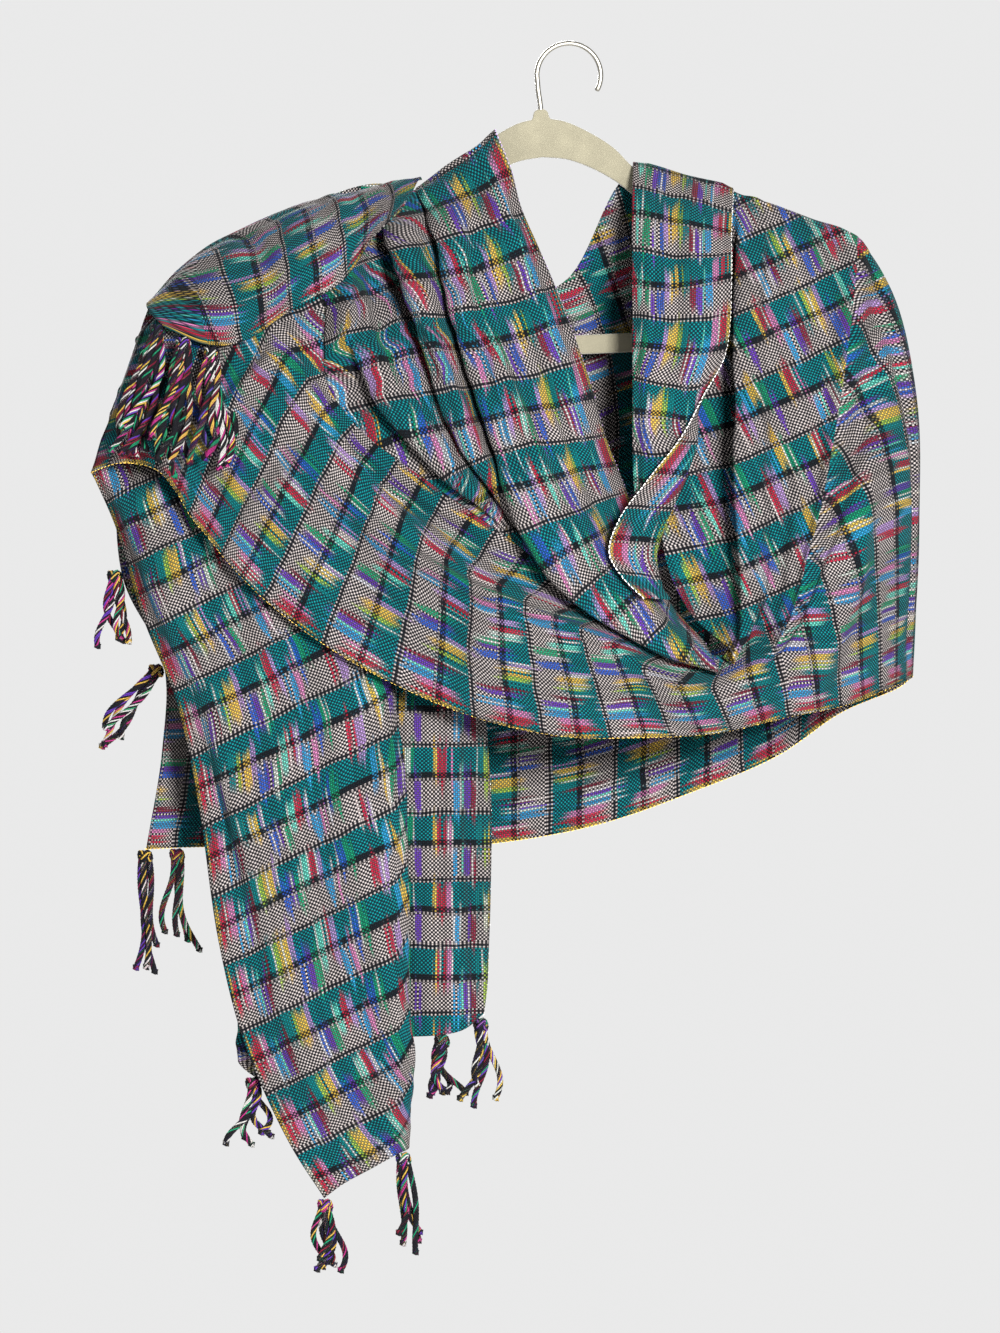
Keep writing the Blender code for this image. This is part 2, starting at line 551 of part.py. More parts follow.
def make_tassel(name, head, lean, length, strands, material, collection, cutters, parent):
    """Make one fringe group: a knot with its strands fused into it."""
    centre = Vector(head) + Vector((0, 0, -HEAD_RADIUS))
    knot = bpy.data.meshes.new(name)
    build = bmesh.new()
    bmesh.ops.create_uvsphere(build, u_segments=6, v_segments=5, radius=HEAD_RADIUS * MM)
    for vert in build.verts:
        vert.co = vert.co + centre * MM
    build.to_mesh(knot)
    build.free()
    knot.materials.append(material)
    tassel = bpy.data.objects.new(name, knot)
    collection.objects.link(tassel)
    tassel.parent = parent

    loose = bpy.data.meshes.new(name + "_strands")
    build = bmesh.new()
    for index in range(strands):
        angle = 2 * math.pi * index / strands + 0.3
        spread = Vector((math.cos(angle), math.sin(angle), 0))
        reach = length * (1.0 - STRAND_LENGTH_STEP * (index % 3))
        start = centre + spread * ROOT_RING_RADIUS
        tip_ring = spread * (TIP_RING_RADIUS + TIP_SPREAD_PER_LENGTH * length)
        end = centre + Vector((lean[0] * reach, lean[1] * reach, -reach)) + tip_ring
        strand_mesh(build, start, end, spread * STRAND_BOW)
    bmesh.ops.recalc_face_normals(build, faces=build.faces)
    build.to_mesh(loose)
    build.free()
    strands_object = bpy.data.objects.new(name + "_strands", loose)
    cutters.objects.link(strands_object)
    strands_object.parent = parent
    strands_object.hide_render = True
    strands_object.display_type = "WIRE"
    union = tassel.modifiers.new("strands", "BOOLEAN")
    union.operation = "UNION"
    union.solver = "EXACT"
    union.object = strands_object
    return tassel


def make_cloth(material, collection, parent):
    """Make every stretch of the cloth, each parted from the next along the edge that they share."""
    steps = GRID_STEPS
    first, pinch = COWL_FIRST_SECTION * steps, PINCH_SECTION * steps
    drape = loft(drape_rows(), steps, steps)
    back = back_sheet(side_line(drape_rows(), -1, DRAPE_SIDE_SPANS), steps)
    hanging = hanging_sheet(side_line(drape_rows(), 0, DRAPE_SIDE_SPANS), steps)
    cowl = loft(cowl_rows(), steps, steps)
    fall = loft(transpose(FALL_LEVELS), steps, steps)

    trim_side(cowl, -1, PINCH_GAP)
    part_seam(drape, cowl, first, pinch)
    part_seam(drape, fall, pinch, len(drape[0]))
    trim_side(drape, 0, SEAM_GAP)
    trim_side(drape, -1, SEAM_GAP)
    trim_side(back, -1, SEAM_GAP)
    trim_side(hanging, 0, SEAM_GAP)

    sheets = {"front_drape": drape, "neck_cowl": cowl, "right_fall": fall, "back_drape": back,
              "hanging_end": hanging, "right_lapel": loft(transpose(LAPEL_LEVELS), steps, LAPEL_LEVEL_STEPS),
              "shoulder_end": loft(SHOULDER_ROWS, steps, steps)}
    for name, grid in sheets.items():
        cloth_solid(name, grid, material, collection, parent)


def main():
    """Build the shawl and its hanger in one collection."""
    clear_scene()
    collection = bpy.data.collections.new("rebozo_shawl")
    cutters = bpy.data.collections.new("fringe_strands")
    bpy.context.scene.collection.children.link(collection)
    bpy.context.scene.collection.children.link(cutters)

    cloth = principled("woven_cloth", CLOTH_COLOUR, 0.85)
    fringe = principled("fringe_yarn", FRINGE_COLOUR, 0.8)
    flock = principled("flocked_plastic", FLOCK_COLOUR, 0.95)
    wire = principled("hook_wire", WIRE_COLOUR, 0.3, 1.0)

    frame = bpy.data.objects.new("crown_frame", None)
    collection.objects.link(frame)
    crown_inner_top = CROWN_CENTRE[1] + CROWN_RADIUS - WIRE_DIAMETER / 2
    frame.location = (-CROWN_CENTRE[0] * MM, 0, -crown_inner_top * MM)

    make_hanger_body(flock, collection, frame)
    make_hanger_hook(wire, collection, frame)
    make_cloth(cloth, collection, frame)
    for name, head, lean, length, strands in TASSELS:
        make_tassel("tassel_" + name, head, lean, length, strands, fringe, collection, cutters, frame)


main()
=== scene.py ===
"""Looks of the rebozo shawl on its hanger: woven cloth, knotted fringe, flocked hanger and wire hook.

The tables are in millimetres in the hanger's own frame: x to the viewer's right, y away from the viewer and
z up, with zero where the hook wire enters the hanger body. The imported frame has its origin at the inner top
of the hook's crown, so every point is moved by CROWN_SHIFT when its mesh is made.
"""

import logging
import math
import random
from collections.abc import Callable, Sequence
from dataclasses import dataclass, field
from enum import Enum
from functools import partial

import bmesh
import bpy
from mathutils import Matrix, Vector, noise


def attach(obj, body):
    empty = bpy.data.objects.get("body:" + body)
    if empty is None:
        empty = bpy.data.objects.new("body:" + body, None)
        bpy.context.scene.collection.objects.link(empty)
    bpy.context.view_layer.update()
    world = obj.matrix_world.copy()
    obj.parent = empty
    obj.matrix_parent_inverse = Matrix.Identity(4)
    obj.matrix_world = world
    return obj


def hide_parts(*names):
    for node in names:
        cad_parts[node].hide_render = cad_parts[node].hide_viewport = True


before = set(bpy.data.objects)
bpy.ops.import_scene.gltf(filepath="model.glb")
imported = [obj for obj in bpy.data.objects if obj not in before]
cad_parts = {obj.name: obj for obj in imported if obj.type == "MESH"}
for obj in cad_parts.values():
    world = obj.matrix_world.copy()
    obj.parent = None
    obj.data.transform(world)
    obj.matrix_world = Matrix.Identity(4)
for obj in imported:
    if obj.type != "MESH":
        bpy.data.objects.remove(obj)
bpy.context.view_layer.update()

log = logging.getLogger("rebozo_shawl")

MM = 0.001
CROWN_SHIFT = Vector((-17.6, 0.0, -44.3))
CLOTH_WIDTH = 680.0
WEFT_CYCLE = 42.0
WARP_PITCH = 1.26
PICK_PITCH = 1.2
CLOTH_WALL = 0.9
SEAM_STEP = 0.8
CREASE_LIFT = 1.5
CREASE_ENDS = 0.35
RIPPLE = 3.0
BORDER_ROWS = 6
COARSE_RIPPLE = (60.0, 34.0)
FINE_RIPPLE = (22.0, 15.0)
FINE_SHARE = 0.45

RIGHT_CREASE_X = 193.0
RIGHT_FALL_SLOPE = 0.45
RIGHT_LINE_LEVEL = -118.0
RIGHT_ACROSS = 300.0
POCKET_X = 120.0
POCKET_SLOPE = 0.2
YARN_SEED_STEP = 7.31
SHORTEST_SPAN = 0.01
HANGING_LEAN = 26.0
HANGING_PIVOT_X = -200.0
HANGING_LEVEL_SPAN = 8.0
HANGING_TURN_SPANS = 5
SPINE_REACH = 150.0
BELLY_LINES = ((0.34, 0.6), (0.66, 1.0), (0.87, 0.77))

Point = Vector
Grid = list[list[Point]]
Colour = tuple[float, float, float]
Weave = tuple[list[list[float]], list[list[float]]]
Socket = bpy.types.NodeSocket

# The front drape, one row per weft section from the left turn to the right side.
# Columns: lower selvage, outer ridge and outermost cowl edge (x, y, z), outward belly, inward trough.
DRAPE_SECTIONS = [
    ((-283, -8, -225), (-252, -6, -136), (-238, -1, -120), 0, 0),
    ((-281, -15, -224), (-248, -13, -136), (-234, -8, -118), 0, 0),
    ((-262, -30, -219), (-222, -30, -120), (-204, -10, -99), 2, 1),
    ((-240, -39, -224), (-194, -42, -117), (-172, -12, -84), 3, 2),
    ((-228, -43, -238), (-179, -49, -122), (-150, -24, -92), 3, 2),
    ((-219, -46, -253), (-167, -54, -134), (-136, -42, -120), 3, 3),
    ((-209, -48, -265), (-156, -58, -151), (-136, -46, -145), 3, 2),
    ((-197, -50, -280), (-143, -62, -172), (-134, -50, -170), 4, 2),
    ((-168, -54, -309), (-121, -66, -210), (-112, -56, -200), 4, 2),
    ((-114, -60, -346), (-87, -70, -256), (-74, -60, -229), 5, 9),
    ((-45, -64, -377), (-46, -74, -287), (-30, -59, -260), 6, 9),
    ((12, -66, -390), (-2, -77, -311), (22, -56, -294), 6, 7),
    ((60, -66, -391), (38, -78, -332), (70, -54, -319), 5, 5),
    ((110, -63, -388), (98, -76, -362), (112, -53, -340), 3, 4),
    ((155, -55, -378), (146, -72, -336), (137, -58, -312), 4, 2),
    ((190, -42, -371), (170, -70, -272), (142, -62, -258), 12, 4),
    ((214, -26, -362), (184, -60, -205), (142, -58, -190), 20, 5),
    ((229, -11, -356), (193, -40, -135), (138, -46, -128), 25, 4),
    ((233, -6, -354), (197, -18, -90), (144, -15, -68), 26, 1),
    ((233.8, -3, -353.4), (197, -6, -76.5), (146, -6, -57.5), 26, 0),
    ((234, 1.4, -353), (196, 1.4, -74.5), (146, 1.4, -55.5), 26, 0),
]

# The cowl's stacked pleats, one row per level from just over the left arm down to the pinch.
# Columns: outer edge (x, y, z), third, second and first pleat, crease and selvage (x, z), crown y, how open
# the pleats are, depth of the pit, how far the outer pleats lie under the first, how far back the selvage is.
COWL_LEVELS = [
    ((-152, 4.6, -68), (-124, -60), (-102, -54), (-78, -46.6),
     (-50, -28), (-29, -10.8), 4.6, 0.0, 0, 0.0, 0),
    ((-152, 0, -66), (-124, -58), (-102, -52), (-78, -44.4),
     (-50, -25.8), (-29, -8.6), 0, 0.0, 0, 0.0, 0),
    ((-152, -6, -69), (-123, -61), (-101, -55), (-77, -47.4),
     (-49, -28.8), (-28, -11.6), -6, 0.1, 1, 0.0, 0),
    ((-151, -13, -80), (-121, -74), (-99, -66), (-72, -60),
     (-43, -46), (-19, -34), -20, 0.6, 8, 0.0, 6),
    ((-150, -24, -92), (-118, -92), (-96, -82), (-67, -77),
     (-37, -68), (-13, -58), -38, 0.9, 22, 0.0, 12),
    ((-136, -42, -120), (-117, -116), (-89, -104), (-62, -102),
     (-30, -95), (-2, -84), -50, 1.0, 28, 0.0, 14),
    ((-136, -46, -145), (-119, -138), (-80, -128), (-56, -127),
     (-24, -120), (9, -110), -60, 1.0, 14, 0.0, 15),
    ((-134, -50, -170), (-110, -168), (-71, -156), (-47, -157),
     (-13, -150), (20, -139), -67, 1.0, 0, 0.0, 15),
    ((-112, -56, -200), (-95, -192), (-60, -188), (-39, -185),
     (-5, -178), (30, -168), -72, 1.0, 0, 0.0, 18),
    ((-74, -60, -229), (-62, -230), (-44, -220), (-30, -214),
     (6, -207), (40, -203), -76, 1.0, 0, 0.0, 24),
    ((-30, -59, -260), (-24, -262), (-16, -256), (-14, -257),
     (20, -246), (52, -234), -79, 0.9, 0, 0.85, 36),
    ((21, -60, -297), (22, -294), (22, -294), (18, -305),
     (42, -285), (62, -264), -80, 0.6, 0, 1.0, 40),
    ((69, -58, -322), (70, -319), (70, -319), (64, -333),
     (76, -322), (80, -306), -77, 0.4, 0, 1.0, 34),
    ((111, -57, -342.5), (112, -340), (112, -340), (110, -350),
     (107, -342), (102, -332), -72, 0.3, 0, 1.0, 12),
]

# The narrow pleat and pocket on the right, one row per level from the pinch up over the right arm.
# Columns: ridge, crown, edge, tuck, pocket and hidden line.
FALL_LEVELS = [
    ((113, -57, -341), (120, -69, -345), (119, -73, -341),
     (117, -62, -336), (112, -54, -331), (106, -46, -326)),
    ((136.5, -60.5, -312), (133, -67, -314), (126, -67, -317),
     (124, -50, -318), (108, -42, -320), (94, -37, -314)),
    ((142, -62, -258), (134, -70, -262), (122, -68, -268),
     (124, -36, -268), (98, -32, -280), (78, -40, -280)),
    ((142, -58, -190), (133, -66, -196), (121, -64, -206),
     (126, -26, -206), (100, -24, -220), (76, -44, -216)),
    ((138, -46, -128), (131, -54, -132), (120, -52, -140),
     (124, -20, -140), (104, -20, -146), (84, -34, -146)),
    ((144, -15, -68), (138, -17, -66), (128, -16, -65),
     (120, -12, -60), (104, -11, -55), (88, -11, -51)),
    ((146, -6, -57.5), (139, -6, -55.5), (130, -6, -53),
     (121, -6, -50.8), (106, -6, -47), (90, -6, -43)),
    ((146, 1.4, -55.5), (139, 1.4, -53.6), (130, 1.4, -51.2),
     (121, 1.4, -49), (106, 1.4, -45.2), (90, 1.4, -41.2)),
]

# The lapel on the right, one row per level from behind the right arm down to the pinch.
# Columns: fold, middle, turn and selvage.
LAPEL_LEVELS = [
    ((58, 4.4, -31.2), (80, 4.4, -36.6), (104, 4.4, -42.6), (121, 4.4, -46.6)),
    ((58, 0, -29.2), (80, 0, -35.4), (104, 0, -41.6), (121, 0, -45.6)),
    ((58, -6, -31.5), (80, -7, -37.4), (104, -9, -44), (121, -10, -48.4)),
    ((57, -30, -62), (79, -36, -66), (102, -38, -71), (119, -34, -75)),
    ((57, -44, -104), (78, -52, -106), (101, -54, -104), (119, -48, -100)),
    ((57, -53, -150), (77, -60, -152), (99, -62, -154), (115, -57, -151)),
    ((57, -58, -182), (76, -64, -186), (96, -66, -188), (101, -73, -178)),
    ((57, -61, -210), (74, -65, -212), (98, -67, -206), (87, -79, -204)),
    ((58, -63, -236), (70, -66, -238), (87, -68, -233), (66, -82, -231)),
    ((61, -64, -258), (67, -66, -258), (79, -69, -256), (48, -86, -256)),
    ((63, -64, -278), (66, -66, -278), (72, -70, -278), (42, -87, -276)),
    ((67, -64, -292), (70, -67, -293), (75, -71, -294), (50, -88, -291)),
    ((76, -64, -303), (78, -67, -304), (80, -71, -305), (63, -87, -304)),
]

# The back of the cloth, one row per warp line; every row runs from the left edge to the right side.
BACK_ROWS = [
    [(-249, 10, -462), (-218, 26, -461), (-152, 42, -462), (-89, 48, -462), (-29, 50, -459), (37, 50, -447),
     (100, 48, -425), (151, 42, -403), (190, 30, -376), (226, 12, -360)],
    [(-239, 12, -400), (-208, 30, -398), (-150, 46, -398), (-89, 52, -398), (-29, 54, -395), (37, 54, -386),
     (100, 51, -370), (151, 44, -352), (196, 30, -330), (229, 12, -314)],
    [(-238, 11, -345), (-212, 28, -338), (-152, 44, -334), (-89, 50, -330), (-29, 52, -326), (37, 52, -318),
     (100, 49, -306), (151, 42, -292), (200, 28, -276), (231, 11, -264)],
    [(-264, 9, -290), (-232, 24, -268), (-160, 38, -262), (-89, 43, -256), (-29, 45, -252), (37, 45, -246),
     (100, 43, -236), (151, 37, -228), (200, 25, -216), (230, 10, -210)],
    [(-266, 8, -205), (-236, 20, -186), (-160, 30, -184), (-89, 34, -182), (-30, 36, -186), (37, 36, -178),
     (98, 35, -164), (150, 30, -158), (198, 20, -156), (225, 9, -158)],
    [(-254, 7, -140), (-226, 14, -118), (-158, 18, -104), (-96, 20, -100), (-36, 27, -134), (26, 26, -124),
     (70, 20, -84), (120, 18, -88), (168, 14, -96), (208, 8, -108)],
    [(-247, 5.5, -119), (-216, 5.5, -91), (-151, 5.5, -57), (-92, 5.5, -44), (-40, 24, -116), (14, 22, -104),
     (58, 6.5, -35), (112, 6, -47), (160, 5.5, -61.5), (188, 5, -73.5)],
]

# The first end over the left shoulder, one row per line from the outer edge to the neck.
# Columns: over the top, crest, front of the crest, middle, lower edge.
SHOULDER_ROWS = [
    [(-247, 3.4, -118), (-247, -3, -117), (-248, -12, -119), (-246, -26, -124), (-236, -44, -134)],
    [(-216, 3.8, -88.5), (-216, -4, -87.5), (-216, -18, -94), (-214, -44, -118), (-208, -55, -146)],
    [(-184, 3.8, -70), (-184, -4, -69), (-184, -20, -77), (-184, -50, -106), (-186, -64, -144)],
    [(-151, 3.8, -55), (-151, -4, -54), (-151, -20, -61), (-152, -52, -88), (-156, -66, -125)],
    [(-122, 3.8, -49), (-122, -4, -48), (-122, -18, -53), (-122, -46, -76), (-124, -56, -106)],
    [(-94, 3.8, -42.5), (-94, -4, -41.5), (-95, -14, -46), (-98, -38, -60), (-106, -55, -80)],
    [(-75, 3, -39.6), (-76, -4, -38.8), (-78, -12, -42.2), (-82, -30, -51), (-88, -48, -61.5)],
]
# Distance along the cloth from its fringed end, at the crest and at the lower edge of each shoulder row.
SHOULDER_ALONG = [(0, 0), (36, 0), (74, 34), (108, 74), (138, 112), (168, 146), (188, 166)]

# The second end, one row per warp line; every row goes on from the left turn, (x, y, z).
HANGING_ROWS = [
    [(-268, -2, -258), (-250, -18, -316), (-229, -26, -368),
     (-215, -32, -431), (-202, -37, -519), (-186, -38, -582), (-158, -35, -645), (-136, -31, -680)],
    [(-246, -20, -242), (-214, -36, -310), (-196, -42, -368),
     (-190, -44, -431), (-176, -44, -519), (-160, -42, -580), (-140, -38, -636), (-124, -34, -671)],
    [(-226, -26, -220), (-166, -42, -300), (-144, -47, -366),
     (-138, -48, -430), (-134, -48, -522), (-126, -46, -580), (-116, -42, -630), (-106, -38, -661)],
    [(-210, -28, -206), (-124, -40, -290), (-100, -46, -356),
     (-92, -46, -427), (-90, -46, -522), (-89, -44, -578), (-89, -41, -621), (-90, -38, -652)],
    [(-206, -25, -200), (-116, -36, -286), (-93, -41, -354),
     (-85, -41, -426), (-83, -41, -521), (-82, -39, -576), (-82, -36, -618), (-83, -33, -648)],
    [(-206, -21, -192), (-122, -32, -282), (-100, -36, -352),
     (-92, -36, -426), (-90, -36, -516), (-90, -34, -568), (-90, -32, -610), (-91, -29, -638)],
    [(-212, -15, -184), (-178, -25, -280), (-180, -29, -354),
     (-182, -29, -426), (-182, -29, -504), (-180, -28, -548), (-180, -27, -584), (-180, -26, -604)],
    [(-213, -11, -178), (-186, -20, -278), (-189, -24, -353),
     (-192, -24, -426), (-193, -24, -500), (-191, -23, -542), (-191, -22, -575), (-190, -21, -594)],
    [(-208, -8, -174), (-178, -15, -276), (-180, -19, -352),
     (-183, -19, -426), (-184, -19, -498), (-183, -18, -540), (-183, -17, -572), (-182, -16, -591)],
    [(-200, -8, -168), (-128, -13, -266), (-124, -16, -346),
     (-122, -16, -424), (-120, -16, -496), (-120, -16, -532), (-120, -16, -562), (-120, -16, -581)],
    [(-192, -8, -162), (-86, -18, -258), (-58, -26, -340),
     (-52, -27, -424), (-52, -27, -496), (-52, -26, -530), (-52, -25, -558), (-52, -24, -576)],
    [(-184, -7, -158), (-72, -11, -250), (-42, -8, -334),
     (-32, -4, -424), (-32, -4, -490), (-33, -6, -522), (-34, -9, -548), (-36, -13, -565)],
]

# Creases by stretch: start and end (across, along) as fractions, width and depth in millimetres.
CREASES = {
    "front_drape": [
        ((0.05, 0.20), (0.62, 0.30), 14, 5.0), ((0.10, 0.33), (0.60, 0.38), 16, -5.0),
        ((0.40, 0.40), (0.66, 0.60), 12, 4.5), ((0.02, 0.50), (0.45, 0.52), 18, 4.5),
        ((0.05, 0.60), (0.50, 0.62), 16, -4.5), ((0.66, 0.70), (0.66, 0.94), 11, 5.0),
        ((0.56, 0.70), (0.56, 0.90), 12, -4.0), ((0.10, 0.72), (0.45, 0.80), 15, 4.5),
        ((0.05, 0.86), (0.55, 0.88), 14, -4.0), ((0.78, 0.72), (0.92, 0.88), 12, 4.0),
        ((0.45, 0.08), (0.80, 0.20), 10, 3.5), ((0.70, 0.34), (0.86, 0.50), 10, -4.0),
    ],
    "neck_cowl": [
        ((0.93, 0.25), (0.95, 0.62), 9, 2.4), ((0.80, 0.30), (0.72, 0.60), 8, -3.4),
        ((0.74, 0.42), (0.80, 0.75), 7, 2.6), ((0.45, 0.40), (0.50, 0.66), 8, 3.0),
        ((0.86, 0.50), (0.90, 0.80), 6, -2.6), ((0.24, 0.36), (0.26, 0.60), 8, -4.0),
    ],
    "right_fall": [
        ((0.12, 0.20), (0.14, 0.75), 6, 1.2), ((0.7, 0.2), (0.85, 0.6), 10, 3.0),
    ],
    "right_lapel": [
        ((0.35, 0.16), (0.50, 0.62), 8, -1.8), ((0.10, 0.22), (0.22, 0.70), 7, 1.5),
    ],
    "back_drape": [
        ((0.95, 0.34), (0.40, 0.20), 22, 5.0), ((0.96, 0.42), (0.30, 0.38), 18, -4.5),
        ((0.96, 0.60), (0.35, 0.62), 24, 5.5), ((0.97, 0.68), (0.25, 0.84), 20, -4.5),
        ((0.60, 0.10), (0.10, 0.16), 18, 4.0), ((0.50, 0.50), (0.05, 0.47), 26, 4.0),
        ((0.40, 0.72), (0.03, 0.66), 20, -3.5), ((0.90, 0.86), (0.40, 0.94), 16, 4.0),
    ],
    "shoulder_end": [
        ((0.28, 0.30), (0.45, 0.95), 9, -2.5), ((0.60, 0.25), (0.70, 0.95), 10, 2.2),
        ((0.80, 0.30), (0.88, 0.90), 7, -1.6),
    ],
    "hanging_end": [
        ((0.05, 0.30), (0.12, 0.95), 14, 3.0), ((0.20, 0.22), (0.16, 0.80), 13, -3.0),
        ((0.26, 0.40), (0.23, 0.97), 10, 2.0), ((0.86, 0.40), (0.88, 0.95), 9, 2.0),
        ((0.16, 0.16), (0.11, 0.42), 18, -6.0), ((0.05, 0.14), (0.05, 0.40), 20, 6.0),
        ((0.03, 0.50), (0.10, 0.72), 15, -4.0), ((0.62, 0.40), (0.70, 0.90), 16, 4.0),
        ((0.93, 0.45), (0.96, 0.95), 12, -3.0),
    ],
}

# Fringe groups: name, knot top (x, y, z), lean (x, y) per unit of drop, length, ropes, how loose (0 to 1).
TASSELS = [
    ("shoulder_outer", (-240.1, -40.5, -132.1), (-0.24, -0.24), 96, 11, 1.0),
    ("shoulder_middle", (-223.6, -53, -140.7), (-0.06, -0.20), 102, 11, 1.0),
    ("shoulder_inner", (-205.7, -57, -146.6), (0.00, -0.20), 92, 10, 1.0),
    ("left_upper", (-268.9, 8.7, -285.6), (0.02, 0.0), 58, 5, 0.6),
    ("left_middle", (-242.9, 10.7, -344.9), (-0.75, 0.0), 62, 5, 0.5),
    ("back_left", (-230, 20.4, -461.6), (0.03, 0.0), 78, 4, 0.5),
    ("back_corner", (-249.8, 10.2, -462.2), (0.02, 0.0), 96, 4, 0.4),
    ("inner_left", (-180.7, -26.5, -604.1), (0.05, 0.0), 48, 6, 0.9),
    ("front_left", (-135.4, -31.1, -680.2), (0.03, 0.0), 50, 6, 0.5),
    ("front_right", (-86.3, -35.3, -650.8), (0.08, 0.0), 80, 5, 0.4),
    ("inner_middle", (-62.2, -22.5, -577.4), (-0.10, 0.0), 44, 6, 0.9),
    ("inner_right", (-38, -14, -567.4), (0.04, 0.0), 66, 4, 0.8),
]
# Which fringe groups hang from which stretch.
FRINGE_ON = {
    "shoulder_end": ("shoulder_outer", "shoulder_middle", "shoulder_inner"),
    "back_drape": ("left_upper", "left_middle", "back_left", "back_corner"),
    "hanging_end": ("inner_left", "front_left", "front_right", "inner_middle", "inner_right"),
}


# Finishes


class Bench:
    """Adds nodes to one tree and links them as they are made."""

    def __init__(self, tree: bpy.types.NodeTree) -> None:
        """Work on one node tree.

        Args:
            tree: The shader or geometry tree to add to.
        """
        self.tree = tree
        self.add = partial(self.math, "ADD")
        self.minus = partial(self.math, "SUBTRACT")
        self.times = partial(self.math, "MULTIPLY")
        self.over = partial(self.math, "DIVIDE")

    def node(self, kind: str, inputs: dict | None = None, **settings: object) -> bpy.types.Node:
        """Add a node, set its properties and fill its inputs.

        Args:
            kind: The node's type name.
            inputs: Values or sockets by input name or index.
            **settings: Properties of the node.

        Returns:
            The new node.
        """
        made = self.tree.nodes.new(kind)
        for name, value in settings.items():
            setattr(made, name, value)
        for name, value in (inputs or {}).items():
            if isinstance(value, bpy.types.NodeSocket):
                self.tree.links.new(value, made.inputs[name])
            else:
                made.inputs[name].default_value = value
        return made

    def math(self, operation: str, *values: object) -> Socket:
        """Add a Math node and return its result.

        Args:
            operation: The Math node's operation.
            *values: Its inputs, numbers or sockets.

        Returns:
            The output socket.
        """
        return self.node("ShaderNodeMath", dict(enumerate(values)), operation=operation).outputs[0]

    def mix(self, factor: object, low: object, high: object) -> Socket:
        """Mix two colours and return the result.

        Args:
            factor: How much of the second colour.
            low: First colour, RGB or a socket.
            high: Second colour, RGB or a socket.

        Returns:
            The output socket.
        """
        made = self.node("ShaderNodeMix", data_type="RGBA", blend_type="MIX")
        for socket, value in zip((made.inputs[0], made.inputs[6], made.inputs[7]), (factor, low, high)):
            if isinstance(value, bpy.types.NodeSocket):
                self.tree.links.new(value, socket)
            else:
                socket.default_value = (*value, 1.0) if isinstance(value, tuple) else value
        return made.outputs[2]

    def chance(self, place: Socket) -> Socket:
        """Return a random value that belongs to a number."""
        return self.node("ShaderNodeTexWhiteNoise", {"W": place}, noise_dimensions="1D").outputs[0]

    def noise(self, place: Socket, scale: float, detail: float) -> Socket:
        """Return the value of a noise at a place."""
        return self.node("ShaderNodeTexNoise", {"Vector": place, "Scale": scale, "Detail": detail}).outputs[0]

    def vector(self, operation: str, first: object, second: object) -> Socket:
        """Add a Vector Math node on two vectors, or a vector and its scale, and return its result."""
        slot = "Scale" if operation == "SCALE" else 1
        return self.node("ShaderNodeVectorMath", {0: first, slot: second}, operation=operation).outputs[0]

    def ramp(self, place: Socket, stops: Sequence[tuple[float, Sequence[float]]]) -> bpy.types.Node:
        """Add a stepped colour ramp.

        Args:
            place: Where on the ramp, 0 to 1.
            stops: Where each step starts, and its colour with alpha.

        Returns:
            The node, with the colour and the alpha as its outputs.
        """
        made = self.node("ShaderNodeValToRGB", {0: place})
        made.color_ramp.interpolation = "CONSTANT"
        while len(made.color_ramp.elements) < len(stops):
            made.color_ramp.elements.new(1.0)
        for element, (start, colour) in zip(made.color_ramp.elements, stops):
            element.position = start
            element.color = colour
        return made

    def dress(self, colour: Socket, height: Socket, relief: tuple[float, float], **looks: float) -> None:
        """Finish the material's shader.

        Args:
            colour: Its base colour.
            height: What its relief follows.
            relief: Strength of the relief, and its depth in metres.
            **looks: Other inputs of the shader, with underscores for spaces.
        """
        shader = self.tree.nodes["Principled BSDF"]
        self.tree.links.new(colour, shader.inputs["Base Color"])
        bump = self.node("ShaderNodeBump", {"Strength": relief[0], "Distance": relief[1], "Height": height})
        self.tree.links.new(bump.outputs[0], shader.inputs["Normal"])
        for name, value in looks.items():
            shader.inputs[name.replace("_", " ")].default_value = value


class Yarn(Enum):
    """Dyed yarn colours, linear RGB."""

    BLACK = (0.006, 0.006, 0.010)
    WHITE = (0.72, 0.70, 0.66)
    TEAL = (0.002, 0.21, 0.225)
    PETROL = (0.002, 0.018, 0.030)
    ECRU = (0.52, 0.46, 0.44)
    YELLOW = (0.74, 0.47, 0.07)
    LIME = (0.34, 0.50, 0.06)
    MINT = (0.16, 0.68, 0.54)
    GREEN = (0.008, 0.30, 0.14)
    SKY = (0.03, 0.30, 0.58)
    BLUE = (0.025, 0.10, 0.50)
    PURPLE = (0.12, 0.035, 0.40)
    LAVENDER = (0.42, 0.26, 0.56)
    PINK = (0.62, 0.20, 0.42)
    MAGENTA = (0.50, 0.03, 0.22)
    RED = (0.50, 0.012, 0.045)
    WINE = (0.22, 0.006, 0.03)


